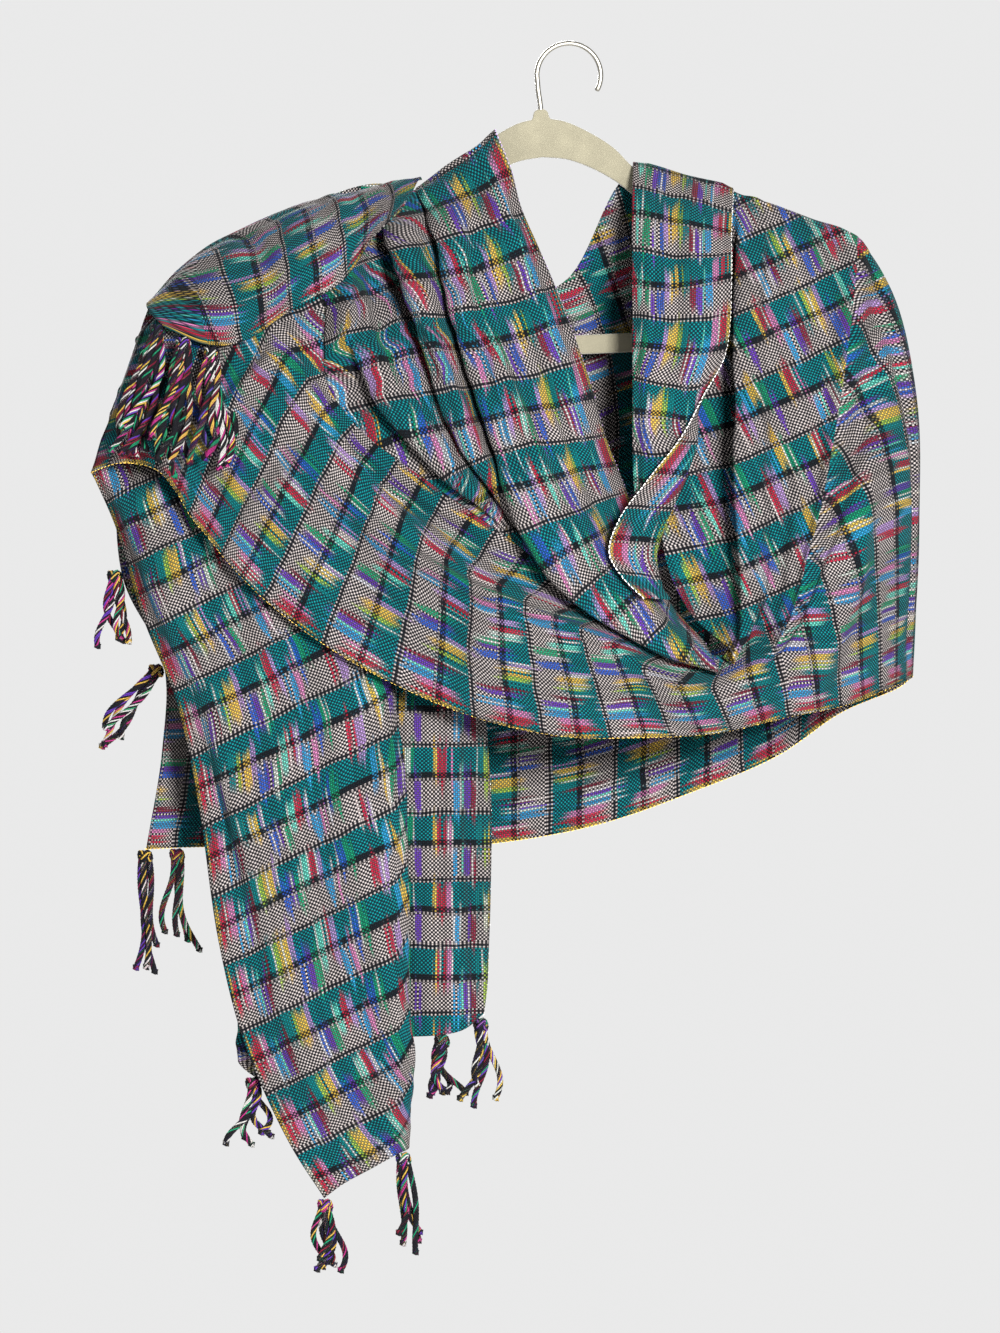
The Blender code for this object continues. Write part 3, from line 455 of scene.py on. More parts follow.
# Warp stripes counted from either selvage, in millimetres: where each starts, its yarn (None is plain
# ground), and whether its dyed stretches lie further along.
WARP_STRIPES = [
    (0.0, Yarn.YELLOW, False), (2.5, Yarn.RED, False), (8.0, Yarn.PINK, False),
    (12.5, Yarn.SKY, True), (17.5, Yarn.MINT, True), (18.8, Yarn.PURPLE, True),
    (23.0, Yarn.WINE, True), (27.0, Yarn.TEAL, False), (31.0, Yarn.LIME, False),
    (34.5, Yarn.YELLOW, False), (40.5, Yarn.LAVENDER, False), (44.0, Yarn.BLUE, True),
    (49.0, Yarn.PURPLE, True), (52.5, Yarn.GREEN, True), (57.0, Yarn.WHITE, False),
    (58.3, Yarn.MINT, False), (62.0, Yarn.RED, False), (66.5, Yarn.LAVENDER, False),
    (70.5, Yarn.SKY, True), (76.0, Yarn.PINK, True), (80.0, Yarn.BLUE, False),
    (85.0, Yarn.GREEN, False), (90.0, None, False), (98.0, Yarn.RED, True),
    (103.0, Yarn.LAVENDER, True), (108.0, Yarn.SKY, False), (113.0, Yarn.YELLOW, False),
    (118.0, Yarn.WHITE, False), (119.3, Yarn.GREEN, False), (124.0, Yarn.PURPLE, True),
    (129.0, None, False),
]
WARP_REPEAT = 136.0

# Selvages that show their binding thread: stretch, row of its grid, the thread's material and its shade.
EDGE_THREADS = [
    ("right_lapel", -1, "white_edge_thread", Yarn.WHITE),
    ("hanging_end", -1, "white_hanging_thread", Yarn.WHITE),
    ("neck_cowl", -1, "purple_edge_thread", Yarn.LAVENDER),
    ("front_drape", 0, "yellow_edge_thread", Yarn.YELLOW),
    ("back_drape", 0, "yellow_back_thread", Yarn.YELLOW),
]


def new_material(name: str) -> tuple[bpy.types.Material, Bench]:
    """Make an empty Principled material.

    Args:
        name: Its name.

    Returns:
        The material, and a bench on its tree.
    """
    material = bpy.data.materials.new(name)
    material.use_nodes = True
    return material, Bench(material.node_tree)


@dataclass(frozen=True)
class WovenCloth:
    """Plain-woven cotton with black weft lines, teal and grey bands, and dyed warp streaks."""

    cycle: float = WEFT_CYCLE * MM
    warp: float = WARP_PITCH * MM
    pick: float = PICK_PITCH * MM
    width: float = CLOTH_WIDTH * MM
    heavy_line: float = 0.0027
    heavy_centre: float = 0.0006
    light_line: float = 0.0019
    dot_row: float = 0.0012
    dot_size: float = 0.0006
    dot_strength: float = 0.8
    line_cover: float = 0.97
    line_thinned: float = 0.55
    wander_scale: float = 45.0
    wander: Colour = (0.0016, 0.0040, 0.0)
    streak_share: float = 0.33
    feather: float = 0.16
    ragged: float = 0.011
    flame: float = 0.020
    flame_scale: float = 130.0
    wave: float = 0.30
    swing: float = 0.8
    swing_scale: float = 11.0
    missing: float = 0.12
    undyed: float = 0.24
    undyed_strength: float = 0.8
    dye_over: float = 0.70
    dye_under: float = 0.28
    grey_shade: Colour = (0.09, 0.075, 0.085)
    teal_shade: Colour = (0.003, 0.075, 0.075)
    fade_scale: float = 22.0
    tone: Colour = (0.5, 0.4, 0.55)
    depth: float = 0.265
    # Gain and floor of the painted crown shading: thread crowns painted lighter and the gaps between threads
    # painted darker.
    crown_shading: tuple[float, float] = (1.2, 0.3)
    thread_height: float = 0.35

    def warp_ramp(self, bench: Bench, place: Socket) -> tuple[Socket, Socket]:
        """Colour the warp stripes across the cloth.

        Args:
            bench: The material's bench.
            place: Distance from the nearer selvage within the repeat, 0 to 1.

        Returns:
            The yarn's colour, and a code: 0 for plain ground, 0.5 for streaks that lie further along, and 1
            for the others.
        """
        stops = []
        for start, yarn, later in WARP_STRIPES:
            code = 0.0 if yarn is None else 0.5 if later else 1.0
            stops.append((start / WARP_REPEAT, (*(yarn or Yarn.ECRU).value, code)))
        made = bench.ramp(place, stops)
        return made.outputs[0], made.outputs[1]

    def build(self) -> bpy.types.Material:
        """Return the cloth's material."""
        material, bench = new_material("woven_cloth")
        math_, add, minus, times, over = bench.math, bench.add, bench.minus, bench.times, bench.over
        uv = bench.node("ShaderNodeUVMap", uv_map="weave").outputs[0]
        wander = bench.node("ShaderNodeTexNoise", {"Vector": uv, "Scale": self.wander_scale, "Detail": 1.0})
        drift = bench.vector("SUBTRACT", wander.outputs["Color"], (0.5, 0.5, 0.5))
        moved = bench.vector("ADD", uv, bench.vector("MULTIPLY", drift, self.wander))
        split = bench.node("ShaderNodeSeparateXYZ", {0: moved})
        across, along = split.outputs[0], split.outputs[1]

        thread = math_("FLOOR", over(across, self.warp))
        pick = math_("FLOOR", over(along, self.pick))

        # Each thread's own shift makes the ends of the dyed stretches ragged.
        chance = bench.chance(thread)
        place = {"W": times(across, self.flame_scale), "Scale": 1.0, "Detail": 1.0}
        swell = bench.node("ShaderNodeTexNoise", place, noise_dimensions="1D").outputs[0]
        jitter = times(minus(chance, 0.5), self.ragged)
        flame = times(minus(swell, 0.5), self.flame)

        # The stripes mirror about the middle. The code is told apart at 0.25 and 0.75.
        middle = minus(self.width / 2, math_("ABSOLUTE", minus(across, self.width / 2)))
        colour, code = self.warp_ramp(bench, math_("FRACT", over(middle, WARP_REPEAT * MM)))
        swing = bench.noise(uv, self.swing_scale, 0.0)
        later = add(times(math_("LESS_THAN", code, 0.75), self.wave), times(swing, self.swing))
        present = math_("GREATER_THAN", code, 0.25)

        # The weft bands repeat evenly, and the dyed stretches sway with the cloth.
        cycle = math_("FRACT", over(along, self.cycle))
        reach = over(add(along, add(jitter, flame)), self.cycle)
        place = math_("FRACT", add(reach, later))
        off_centre = math_("ABSOLUTE", minus(place, 0.5))
        edge = over(minus(self.streak_share, off_centre), self.feather)
        inside = math_("MINIMUM", math_("MAXIMUM", edge, 0.0), 1.0)
        block = math_("FLOOR", add(reach, later))
        lot = bench.node("ShaderNodeCombineXYZ", {0: thread, 1: block}).outputs[0]
        keep = bench.node("ShaderNodeTexWhiteNoise", {"Vector": lot}, noise_dimensions="2D").outputs[0]
        streak = times(times(inside, present), math_("GREATER_THAN", keep, self.missing))

        # Plain weave: the warp thread lies on top where the sum of thread and pick is odd.
        is_over = math_("GREATER_THAN", math_("ABSOLUTE", math_("MODULO", add(thread, pick), 2.0)), 0.5)
        teal = bench.mix(is_over, Yarn.PETROL.value, Yarn.TEAL.value)
        grey = bench.mix(is_over, Yarn.BLACK.value, Yarn.ECRU.value)
        in_teal = math_("LESS_THAN", cycle, 0.5)
        ground = bench.mix(in_teal, grey, teal)
        pale = times(math_("LESS_THAN", keep, self.undyed), self.undyed_strength)
        dyed = bench.mix(pale, colour, Yarn.WHITE.value)
        shade = bench.mix(in_teal, self.grey_shade, self.teal_shade)
        streaked = bench.mix(add(times(is_over, self.dye_over), self.dye_under), shade, dyed)
        cloth = bench.mix(streak, ground, streaked)

        past_heavy = times(minus(math_("FRACT", add(cycle, 0.5)), 0.5), self.cycle)
        past_light = times(minus(cycle, 0.5), self.cycle)
        heavy = math_("COMPARE", past_heavy, self.heavy_centre, self.heavy_line)
        light = math_("COMPARE", past_light, 0.0, self.light_line)
        row = math_("COMPARE", past_heavy, -self.dot_row, self.dot_size)
        light_row = math_("COMPARE", math_("ABSOLUTE", past_light), self.dot_row, self.dot_size)
        odd = math_("ABSOLUTE", math_("MODULO", thread, 2.0))
        beaded = times(math_("MAXIMUM", row, light_row), odd)
        crossed = minus(self.line_cover, times(times(streak, is_over), self.line_thinned))
        lined = bench.mix(times(math_("MAXIMUM", heavy, light), crossed), cloth, Yarn.BLACK.value)
        pattern = bench.mix(times(beaded, self.dot_strength), lined, Yarn.ECRU.value)

        fade = bench.noise(uv, self.fade_scale, 3.0)
        tone = add(times(fade, self.tone[0]), add(times(chance, self.tone[1]), self.tone[2]))
        # Painted shade and highlight: the colour is darkened in the gaps between threads and brightened on
        # each thread's crown, as light would fall on round yarn. The same crowns also drive the bump.
        warp_wave = math_("ABSOLUTE", math_("SINE", times(across, math.pi / self.warp)))
        pick_wave = math_("ABSOLUTE", math_("SINE", times(along, math.pi / self.pick)))
        crown_shading = times(warp_wave, pick_wave)
        albedo_with_crown_shading = times(times(tone, self.depth), add(times(crown_shading, self.crown_shading[0]), self.crown_shading[1]))
        height = add(crown_shading, times(is_over, self.thread_height))
        bench.dress(bench.vector("SCALE", pattern, albedo_with_crown_shading), height, (0.55, 0.0006),
                    Roughness=0.88, Specular_IOR_Level=0.05, Sheen_Weight=0.01, Sheen_Roughness=0.5)
        return material


@dataclass(frozen=True)
class FringeYarn:
    """Twisted fringe yarn: mostly black, with some of the cloth's dyed yarns."""

    shades: int = 18
    dyed: tuple[tuple[int, Yarn], ...] = ((2, Yarn.PURPLE), (4, Yarn.MAGENTA), (7, Yarn.YELLOW),
                                          (12, Yarn.GREEN), (14, Yarn.WINE), (16, Yarn.WHITE))
    fibre: float = 1800.0
    tone: tuple[float, float] = (0.4, 0.08)

    def build(self) -> bpy.types.Material:
        """Return the yarn's material."""
        material, bench = new_material("fringe_yarn")
        yarn = bench.node("ShaderNodeAttribute", attribute_name="yarn").outputs["Fac"]
        dyed = dict(self.dyed)
        shades = [dyed.get(index, Yarn.BLACK) for index in range(self.shades)]
        stops = [(index / self.shades, (*shade.value, 1.0)) for index, shade in enumerate(shades)]
        made = bench.ramp(bench.chance(yarn), stops)
        place = bench.node("ShaderNodeTexCoord").outputs["Object"]
        fuzz = bench.noise(place, self.fibre, 2.0)
        tone = bench.add(bench.times(fuzz, self.tone[0]), self.tone[1])
        bench.dress(bench.vector("SCALE", made.outputs[0], tone), fuzz, (0.5, 0.0002),
                    Roughness=0.82, Specular_IOR_Level=0.10)
        return material


@dataclass(frozen=True)
class EdgeThread:
    """Single thread that binds a selvage."""

    name: str
    shade: Yarn
    fibre: float = 900.0
    darkest: float = 0.55

    def build(self) -> bpy.types.Material:
        """Return the thread's material."""
        material, bench = new_material(self.name)
        place = bench.node("ShaderNodeTexCoord").outputs["Object"]
        twist = bench.noise(place, self.fibre, 1.0)
        tint = bench.mix(twist, tuple(self.darkest * part for part in self.shade.value), self.shade.value)
        bench.dress(tint, twist, (0.4, 0.0002), Roughness=0.7)
        return material


@dataclass(frozen=True)
class FlockedPlastic:
    """Short beige flock over the hanger, with a little lint and shading."""

    light: Colour = (0.130, 0.118, 0.080)
    dark: Colour = (0.058, 0.052, 0.034)
    pile: tuple[float, float] = (1500.0, 0.45)
    brushed: tuple[float, float] = (70.0, 0.6)

    def build(self) -> bpy.types.Material:
        """Return the flock's material."""
        material, bench = new_material("flocked_plastic")
        place = bench.node("ShaderNodeTexCoord").outputs["Object"]
        pile = bench.noise(place, self.pile[0], 3.0)
        brushed = bench.noise(place, self.brushed[0], 3.0)
        mix = bench.add(bench.times(pile, self.pile[1]), bench.times(brushed, self.brushed[1]))
        bench.dress(bench.mix(mix, self.dark, self.light), pile, (0.55, 0.0004),
                    Roughness=0.95, Sheen_Weight=0.5, Sheen_Roughness=0.4)
        return material


@dataclass(frozen=True)
class HookWire:
    """Drawn steel wire with faint lines along it."""

    colour: Colour = (0.21, 0.20, 0.175)
    roughness: float = 0.38
    marks: float = 420.0
    darkest: float = 0.8

    def build(self) -> bpy.types.Material:
        """Return the wire's material."""
        material, bench = new_material("hook_wire")
        place = bench.node("ShaderNodeTexCoord").outputs["Object"]
        marks = bench.noise(place, self.marks, 4.0)
        tint = bench.mix(marks, tuple(self.darkest * part for part in self.colour), self.colour)
        bench.dress(tint, marks, (0.12, 0.0002), Roughness=self.roughness, Metallic=1.0)
        return material


# Lines and sheets


def catmull_rom(points: Sequence[Sequence[float]], steps: int) -> list[Point]:
    """Return a smooth line through every point, weighted so that a short span beside a long one doesn't loop.

    Args:
        points: The points to pass through.
        steps: Steps in each span.

    Returns:
        The points of the line.
    """
    guide = [Vector(p) for p in points]
    widths = [max((end - start).length, SHORTEST_SPAN) ** 0.5 for start, end in zip(guide, guide[1:])]
    slopes = [(end - start) / width for start, end, width in zip(guide, guide[1:], widths)]
    tangents = [slopes[0]]
    for slope, next_slope, width, next_width in zip(slopes, slopes[1:], widths, widths[1:]):
        tangents.append((slope * next_width + next_slope * width) / (width + next_width))
    tangents.append(slopes[-1])
    line = []
    for index, width in enumerate(widths):
        for step in range(steps):
            t = step / steps
            line.append(guide[index] * (2 * t ** 3 - 3 * t ** 2 + 1)
                        + tangents[index] * width * (t ** 3 - 2 * t ** 2 + t)
                        + guide[index + 1] * (3 * t ** 2 - 2 * t ** 3)
                        + tangents[index + 1] * width * (t ** 3 - t ** 2))
    line.append(guide[-1])
    return line


def loft(rows: Sequence[Sequence[Sequence[float]]], along: int, across: int) -> Grid:
    """Return a grid of points through rows of matching points, smooth in both directions."""
    lines = [catmull_rom(row, along) for row in rows]
    columns = [catmull_rom(list(column), across) for column in zip(*lines)]
    return transpose(columns)


def transpose(grid: Sequence[Sequence[Point]]) -> Grid:
    """Swap the rows and columns of a grid."""
    return [list(column) for column in zip(*grid)]


def spread_along(line: Sequence[Point], count: int) -> list[Point]:
    """Return the given number of points spread evenly over a line's spans."""
    points = []
    for index in range(count):
        place = index * (len(line) - 1) / (count - 1)
        start = min(int(place), len(line) - 2)
        points.append(line[start].lerp(line[start + 1], place - start))
    return points


def drape_rows() -> Grid:
    """Return the front drape's warp lines: hem, three belly lines, ridge, trough and outer cowl edge."""
    rows: Grid = [[] for _ in range(7)]
    for hem, ridge, edge, belly, dip in DRAPE_SECTIONS:
        low, middle, high = Vector(hem), Vector(ridge), Vector(edge)
        halfway = low.lerp(middle, 0.5)
        spine_x = max(-SPINE_REACH, min(SPINE_REACH, halfway.x))
        outward = Vector((halfway.x - spine_x, halfway.y, 0.0))
        outward = outward.normalized() if outward.length > 1 else Vector((0, -1, 0))
        bulge = outward * belly
        section = [low, *(low.lerp(middle, share) + bulge * part for share, part in BELLY_LINES), middle,
                   middle.lerp(high, 0.5) + Vector((0, dip, 0)), high]
        for row, point in zip(rows, section):
            row.append(point)
    return rows


@dataclass(frozen=True)
class CowlPleats:
    """How far the cowl's lines stand off its crown where the pleats are fully open, in millimetres."""

    second_out: float = 2.0
    first_out: float = 6.0
    first_belly: float = 7.0
    second_belly: float = 2.0
    inner_belly: float = 9.0
    pit_belly: float = 3.0
    first_tuck: float = 12.0
    second_tuck: float = 11.0
    third_tuck: float = 8.0
    pit_tuck: float = 0.7
    closed_by_pit: float = 8.0
    closed_by_selvage: float = 40.0
    tuck_reach: float = 5.0
    tuck_share: float = 0.35
    deepest: float = 9.0
    deeper_from: float = 22.0
    deeper_rate: float = 4.0

    def tucked(self, edge: Point, inner: Point, crown: float, tuck: float, opening: float) -> Point:
        """Return a pleat's hidden line: behind its edge, and under the pleat as far as the pleat is open."""
        toward = inner - edge
        toward.y = 0
        reach = min(self.tuck_reach * (1.5 * opening - 0.5), toward.length * self.tuck_share)
        deeper = min(self.deepest, max(0.0, (-crown - self.deeper_from) / self.deeper_rate)) * opening
        return Vector((edge.x, crown + tuck + deeper, edge.z)) + toward.normalized() * reach

    def rows(self) -> Grid:
        """Return the cowl's warp lines from the outer edge to the neck selvage, each pleat with its tuck."""
        levels: Grid = []
        for outer, third, second, first, crease, selvage, crown, opening, pit, under, back in COWL_LEVELS:
            outer_edge = Vector(outer)
            third_edge = Vector((third[0], crown + opening, third[1]))
            second_edge = Vector((second[0], crown - self.second_out * opening, second[1]))
            first_edge = Vector((first[0], crown - self.first_out * opening, first[1]))
            crease_line = Vector((crease[0], crown + opening, crease[1]))
            selvage_line = Vector((selvage[0], crown + back, selvage[1]))
            inner_crown = self.inner_belly * opening * (1 - min(back / self.closed_by_selvage, 1))
            third_opening = opening * max(0, 1 - pit / self.closed_by_pit)
            behind_third = self.third_tuck * third_opening
            behind_second = self.second_tuck * opening + pit * self.pit_tuck
            third_tuck = self.tucked(third_edge, second_edge, crown, behind_third, third_opening)
            second_tuck = self.tucked(second_edge, first_edge, crown, behind_second, opening)
            first_tuck = self.tucked(first_edge, crease_line, crown, self.first_tuck * opening, opening)
            level = [outer_edge, third_tuck, third_edge,
                     third_edge.lerp(second_edge, 0.5) + Vector((0, pit - self.pit_belly * opening, 0)),
                     second_tuck, second_edge,
                     second_edge.lerp(first_edge, 0.5) + Vector((0, -self.second_belly * opening, 0))]
            for index in range(1, len(level)):
                level[index] = level[index].lerp(outer_edge.lerp(first_tuck, index / len(level)), under)
            level += [first_tuck, first_edge,
                      first_edge.lerp(crease_line, 0.45) + Vector((0, -self.first_belly * opening, 0)),
                      crease_line,
                      crease_line.lerp(selvage_line, 0.5) + Vector((0, -inner_crown, 0)), selvage_line]
            levels.append(level)
        return transpose(levels)


def drape_side(side: int) -> list[Point]:
    """Return the fine line down one side of the front drape, from its hem to its ridge."""
    steps = 12
    return catmull_rom([row[side] for row in drape_rows()], steps)[:4 * steps + 1]


def back_rows() -> Grid:
    """Return the back's warp lines, ending where the front drape turns to the back."""
    line = [point + Vector((0, SEAM_STEP, 0)) for point in drape_side(-1)]
    ends = spread_along(line, len(BACK_ROWS))
    return [[Vector(place) for place in row] + [end] for row, end in zip(BACK_ROWS, ends)]


def hanging_rows() -> Grid:
    """Return the second end's warp lines, starting where the front drape turns round."""
    rows = []
    for row, point in zip(HANGING_ROWS, spread_along(drape_side(0), len(HANGING_ROWS))):
        rows.append([point, point + Vector((1, 7, -2))] + [Vector(p) for p in row])
    return rows


class Selvage(Enum):
    """Which side of a stretch's grid is nearest a selvage, to count the warp stripes from."""

    FIRST_ROW = "first row"
    LAST_ROW = "last row"


@dataclass
class Stretch:
    """One stretch of the shawl's cloth."""

    name: str
    rows: Callable[[], Grid]
    flat: tuple[float, float]
    rests_on: list[str]
    facing: Colour
    along_steps: int
    across_steps: int
    selvage: Selvage = Selvage.FIRST_ROW
    phase: float = 0.0
    direction: float = 1.0
    held: str = "draped"
    turned_from: tuple[int, int] | None = None
    weave_map: Callable[["Stretch"], Weave] | None = None
    grid: Grid = field(default_factory=list)

    def normals(self) -> Grid:
        """Return the unit normal at every grid point, turned to the side that the stretch faces."""
        grid = self.grid
        rows, columns = len(grid), len(grid[0])
        found: Grid = []
        total = Vector()
        for i in range(rows):
            line = []
            for j in range(columns):
                down = grid[min(i + 1, rows - 1)][j] - grid[max(i - 1, 0)][j]
                side = grid[i][min(j + 1, columns - 1)] - grid[i][max(j - 1, 0)]
                normal = down.cross(side)
                normal = normal.normalized() if normal.length > 1e-9 else Vector((0, -1, 0))
                line.append(normal)
                total += normal
            found.append(line)
        if total.dot(Vector(self.facing)) < 0:
            found = [[-normal for normal in line] for line in found]
        return found

    def fold(self) -> None:
        """Press the listed creases and fine ripples into the grid."""
        normals = self.normals()
        rows, columns = len(self.grid), len(self.grid[0])
        height = sum((b[columns // 2] - a[columns // 2]).length for a, b in zip(self.grid, self.grid[1:]))
        middle = self.grid[rows // 2]
        length = sum((b - a).length for a, b in zip(middle, middle[1:]))
        moved = []
        for i, row in enumerate(self.grid):
            line = []
            for j, point in enumerate(row):
                here = Vector((i / (rows - 1) * height, j / (columns - 1) * length, 0))
                push = 0.0
                for start, end, width, depth in CREASES[self.name]:
                    first = Vector((start[0] * height, start[1] * length, 0))
                    run = Vector((end[0] * height, end[1] * length, 0)) - first
                    t = max(0.0, min(1.0, (here - first).dot(run) / run.length_squared))
                    gap = (here - first - run * t).length / width
                    if gap < 1:
                        swell = CREASE_ENDS + (1 - CREASE_ENDS) * math.sin(math.pi * t)
                        push += CREASE_LIFT * depth * math.cos(gap * math.pi / 2) ** 2 * swell
                wide, high = COARSE_RIPPLE
                coarse = noise.noise(Vector((here.x / wide, here.y / high, len(self.name) * 3.7)))
                wide, high = FINE_RIPPLE
                fine = noise.noise(Vector((here.x / wide, here.y / high, len(self.name) * 1.3 + 9)))
                border = min(i, rows - 1 - i, BORDER_ROWS) / BORDER_ROWS
                border = border * min(j, columns - 1 - j, BORDER_ROWS) / BORDER_ROWS
                push = push * min(1.0, border * 2) + RIPPLE * (coarse + FINE_SHARE * fine) * border
                line.append(point + normals[i][j] * push)
            moved.append(line)
        self.grid = moved

    def weave(self) -> Weave:
        """Return how far each grid point lies across and along the cloth, in millimetres."""
        if self.weave_map:
            return self.weave_map(self)
        grid = self.grid
        rows, columns = len(grid), len(grid[0])
        along = [0.0]
        for j in range(1, columns):
            along.append(along[-1] + sum((grid[i][j] - grid[i][j - 1]).length for i in range(rows)) / rows)
        across = [[0.0] * columns for _ in range(rows)]
        order = range(1, rows) if self.selvage is Selvage.FIRST_ROW else range(rows - 2, -1, -1)
        back = -1 if self.selvage is Selvage.FIRST_ROW else 1
        for i in order:
            for j in range(columns):
                across[i][j] = across[i + back][j] + (grid[i][j] - grid[i + back][j]).length
        sign = 1 if self.selvage is Selvage.FIRST_ROW else -1
        base = 0.0 if sign > 0 else CLOTH_WIDTH
        return ([[base + sign * value for value in row] for row in across],
                [[self.phase + self.direction * value for value in along] for _ in range(rows)])

    def build(self, material: bpy.types.Material) -> bpy.types.Object:
        """Args:
            material: The woven cloth.

        Returns:
            The finished piece.
        """
        plain = self.weave()
        turned = right_weave(self) if self.turned_from else plain
        build = bmesh.new()
        layer = build.loops.layers.uv.new("weave")
        verts = [[build.verts.new((point + CROWN_SHIFT) * MM) for point in row] for row in self.grid]
        for i, (row, next_row) in enumerate(zip(verts, verts[1:])):
            for j in range(len(row) - 1):
                face = build.faces.new((row[j], row[j + 1], next_row[j + 1], next_row[j]))
                is_turned = self.turned_from and i >= self.turned_from[0] and j >= self.turned_from[1]
                sideways, lengthways = turned if is_turned else plain
                for loop, (a, b) in zip(face.loops, ((i, j), (i, j + 1), (i + 1, j + 1), (i + 1, j))):
                    loop[layer].uv = (sideways[a][b] * MM, lengthways[a][b] * MM)
        bmesh.ops.recalc_face_normals(build, faces=build.faces)
        mesh = bpy.data.meshes.new(self.name + "_cloth")
        build.to_mesh(mesh)
        build.free()
        mesh.materials.append(material)
        mesh.shade_smooth()
        piece = placed(self.name + "_cloth", mesh)
        wall = piece.modifiers.new("wall", "SOLIDIFY")
        wall.thickness = CLOTH_WALL * MM
        wall.offset = 0.0
        piece = plain_copy(piece)
        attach(piece, "root")
        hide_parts(self.name)
        log.info("%s: %d faces", self.name, len(piece.data.polygons))
        return piece


def placed(name: str, data: bpy.types.ID) -> bpy.types.Object:
    """Make an object in the scene."""
    made = bpy.data.objects.new(name, data)
    bpy.context.scene.collection.objects.link(made)
    return made


def plain_copy(piece: bpy.types.Object) -> bpy.types.Object:
    """Replace an object by a plain mesh of what it shows.

    Args:
        piece: The object, with its modifiers.

    Returns:
        A mesh object of the same name, at the origin and with no modifiers.
    """
    bpy.context.view_layer.update()
    name = piece.name
    shown = piece.evaluated_get(bpy.context.evaluated_depsgraph_get())
    mesh = bpy.data.meshes.new_from_object(shown)
    bpy.data.objects.remove(piece)
    mesh.name = name
    return placed(name, mesh)


def right_weave(stretch: Stretch) -> Weave:
    """Map the weave of the right face, where the weft lines fall to the left.

    Args:
        stretch: The stretch, with its points.

    Returns:
        Distances across and along the cloth, with a heavy line through RIGHT_LINE_LEVEL on the right crease.
    """
    across, along = [], []
    cosine = math.cos(math.atan(RIGHT_FALL_SLOPE))
    for row in stretch.grid:
        drops = [RIGHT_FALL_SLOPE * (RIGHT_CREASE_X - max(point.x, POCKET_X))
                 + POCKET_SLOPE * (POCKET_X - min(point.x, POCKET_X)) for point in row]
        along.append([(point.z + drop - RIGHT_LINE_LEVEL) * cosine for point, drop in zip(row, drops)])
        across.append([RIGHT_ACROSS + (RIGHT_CREASE_X - point.x - RIGHT_FALL_SLOPE * point.z) * cosine
                       for point in row])
    return across, along


def drape_weave(stretch: Stretch) -> Weave:
    """Map the front's weave along its hem on the right, where the rows above it spread apart.

    Args:
        stretch: The front drape, with its rows from the hem up.

    Returns:
        Distances across and along the cloth.
    """
    grid = stretch.grid
    along = [stretch.phase]
    for j in range(1, len(grid[0])):
        counted = grid if j <= stretch.turned_from[1] else grid[:stretch.along_steps * 2]
        along.append(along[-1] + sum((row[j] - row[j - 1]).length for row in counted) / len(counted))
    across = [[0.0] * len(grid[0])]
    for last, row in zip(grid, grid[1:]):
        across.append([value + (b - a).length for value, a, b in zip(across[-1], last, row)])
    return across, [along for _ in grid]


def shoulder_weave(stretch: Stretch) -> Weave:
    """Map the shoulder's weave, whose weft lines lean from the crest down to the right.

    Args:
        stretch: The shoulder stretch, with its rows from the outer edge to the neck.

    Returns:
        Distances across and along the cloth.
    """
    rows, columns = len(stretch.grid), len(stretch.grid[0])
    across, along = [], []
    for i, row in enumerate(stretch.grid):
        place = i / (rows - 1) * (len(SHOULDER_ALONG) - 1)
        start = min(int(place), len(SHOULDER_ALONG) - 2)
        nearest = zip(SHOULDER_ALONG[start], SHOULDER_ALONG[start + 1])
        crest, low = (a + (b - a) * (place - start) for a, b in nearest)
        run = [0.0]
        for j in range(columns - 1, 0, -1):
            run.append(run[-1] + (row[j] - row[j - 1]).length)
        across.append(run[::-1])
        along.append([stretch.phase - crest - (low - crest) * j / (columns - 1) for j in range(columns)])
    return across, along


def hanging_weave(stretch: Stretch) -> Weave:
    """Map the second end's weave: it runs askew on the front panel and level on the inner one.

    Args:
        stretch: The hanging stretch, with its rows from the hem round to the far selvage.

    Returns:
        Distances across and along the cloth.
    """
    grid = stretch.grid
    rows, columns = len(grid), len(grid[0])
    lean = math.radians(HANGING_LEAN)
    across = [[0.0] * columns for _ in range(rows)]
    along = [[0.0] * columns for _ in range(rows)]
    for i in range(rows):
        span = i / (rows - 1) * (len(HANGING_ROWS) - 1)
        skew = max(0.0, min(1.0, (HANGING_LEVEL_SPAN - span) / HANGING_TURN_SPANS))
        angle = lean * skew
        for j in range(columns):
            point = grid[i][j]
            if not skew:
                across[i][j] = CLOTH_WIDTH / 2 + point.x
            elif i:
                across[i][j] = across[i - 1][j] + (point - grid[i - 1][j]).length * math.cos(angle)
            offset = point.x - HANGING_PIVOT_X
            along[i][j] = stretch.phase + point.z * math.cos(angle) - offset * math.sin(angle)
    return across, along


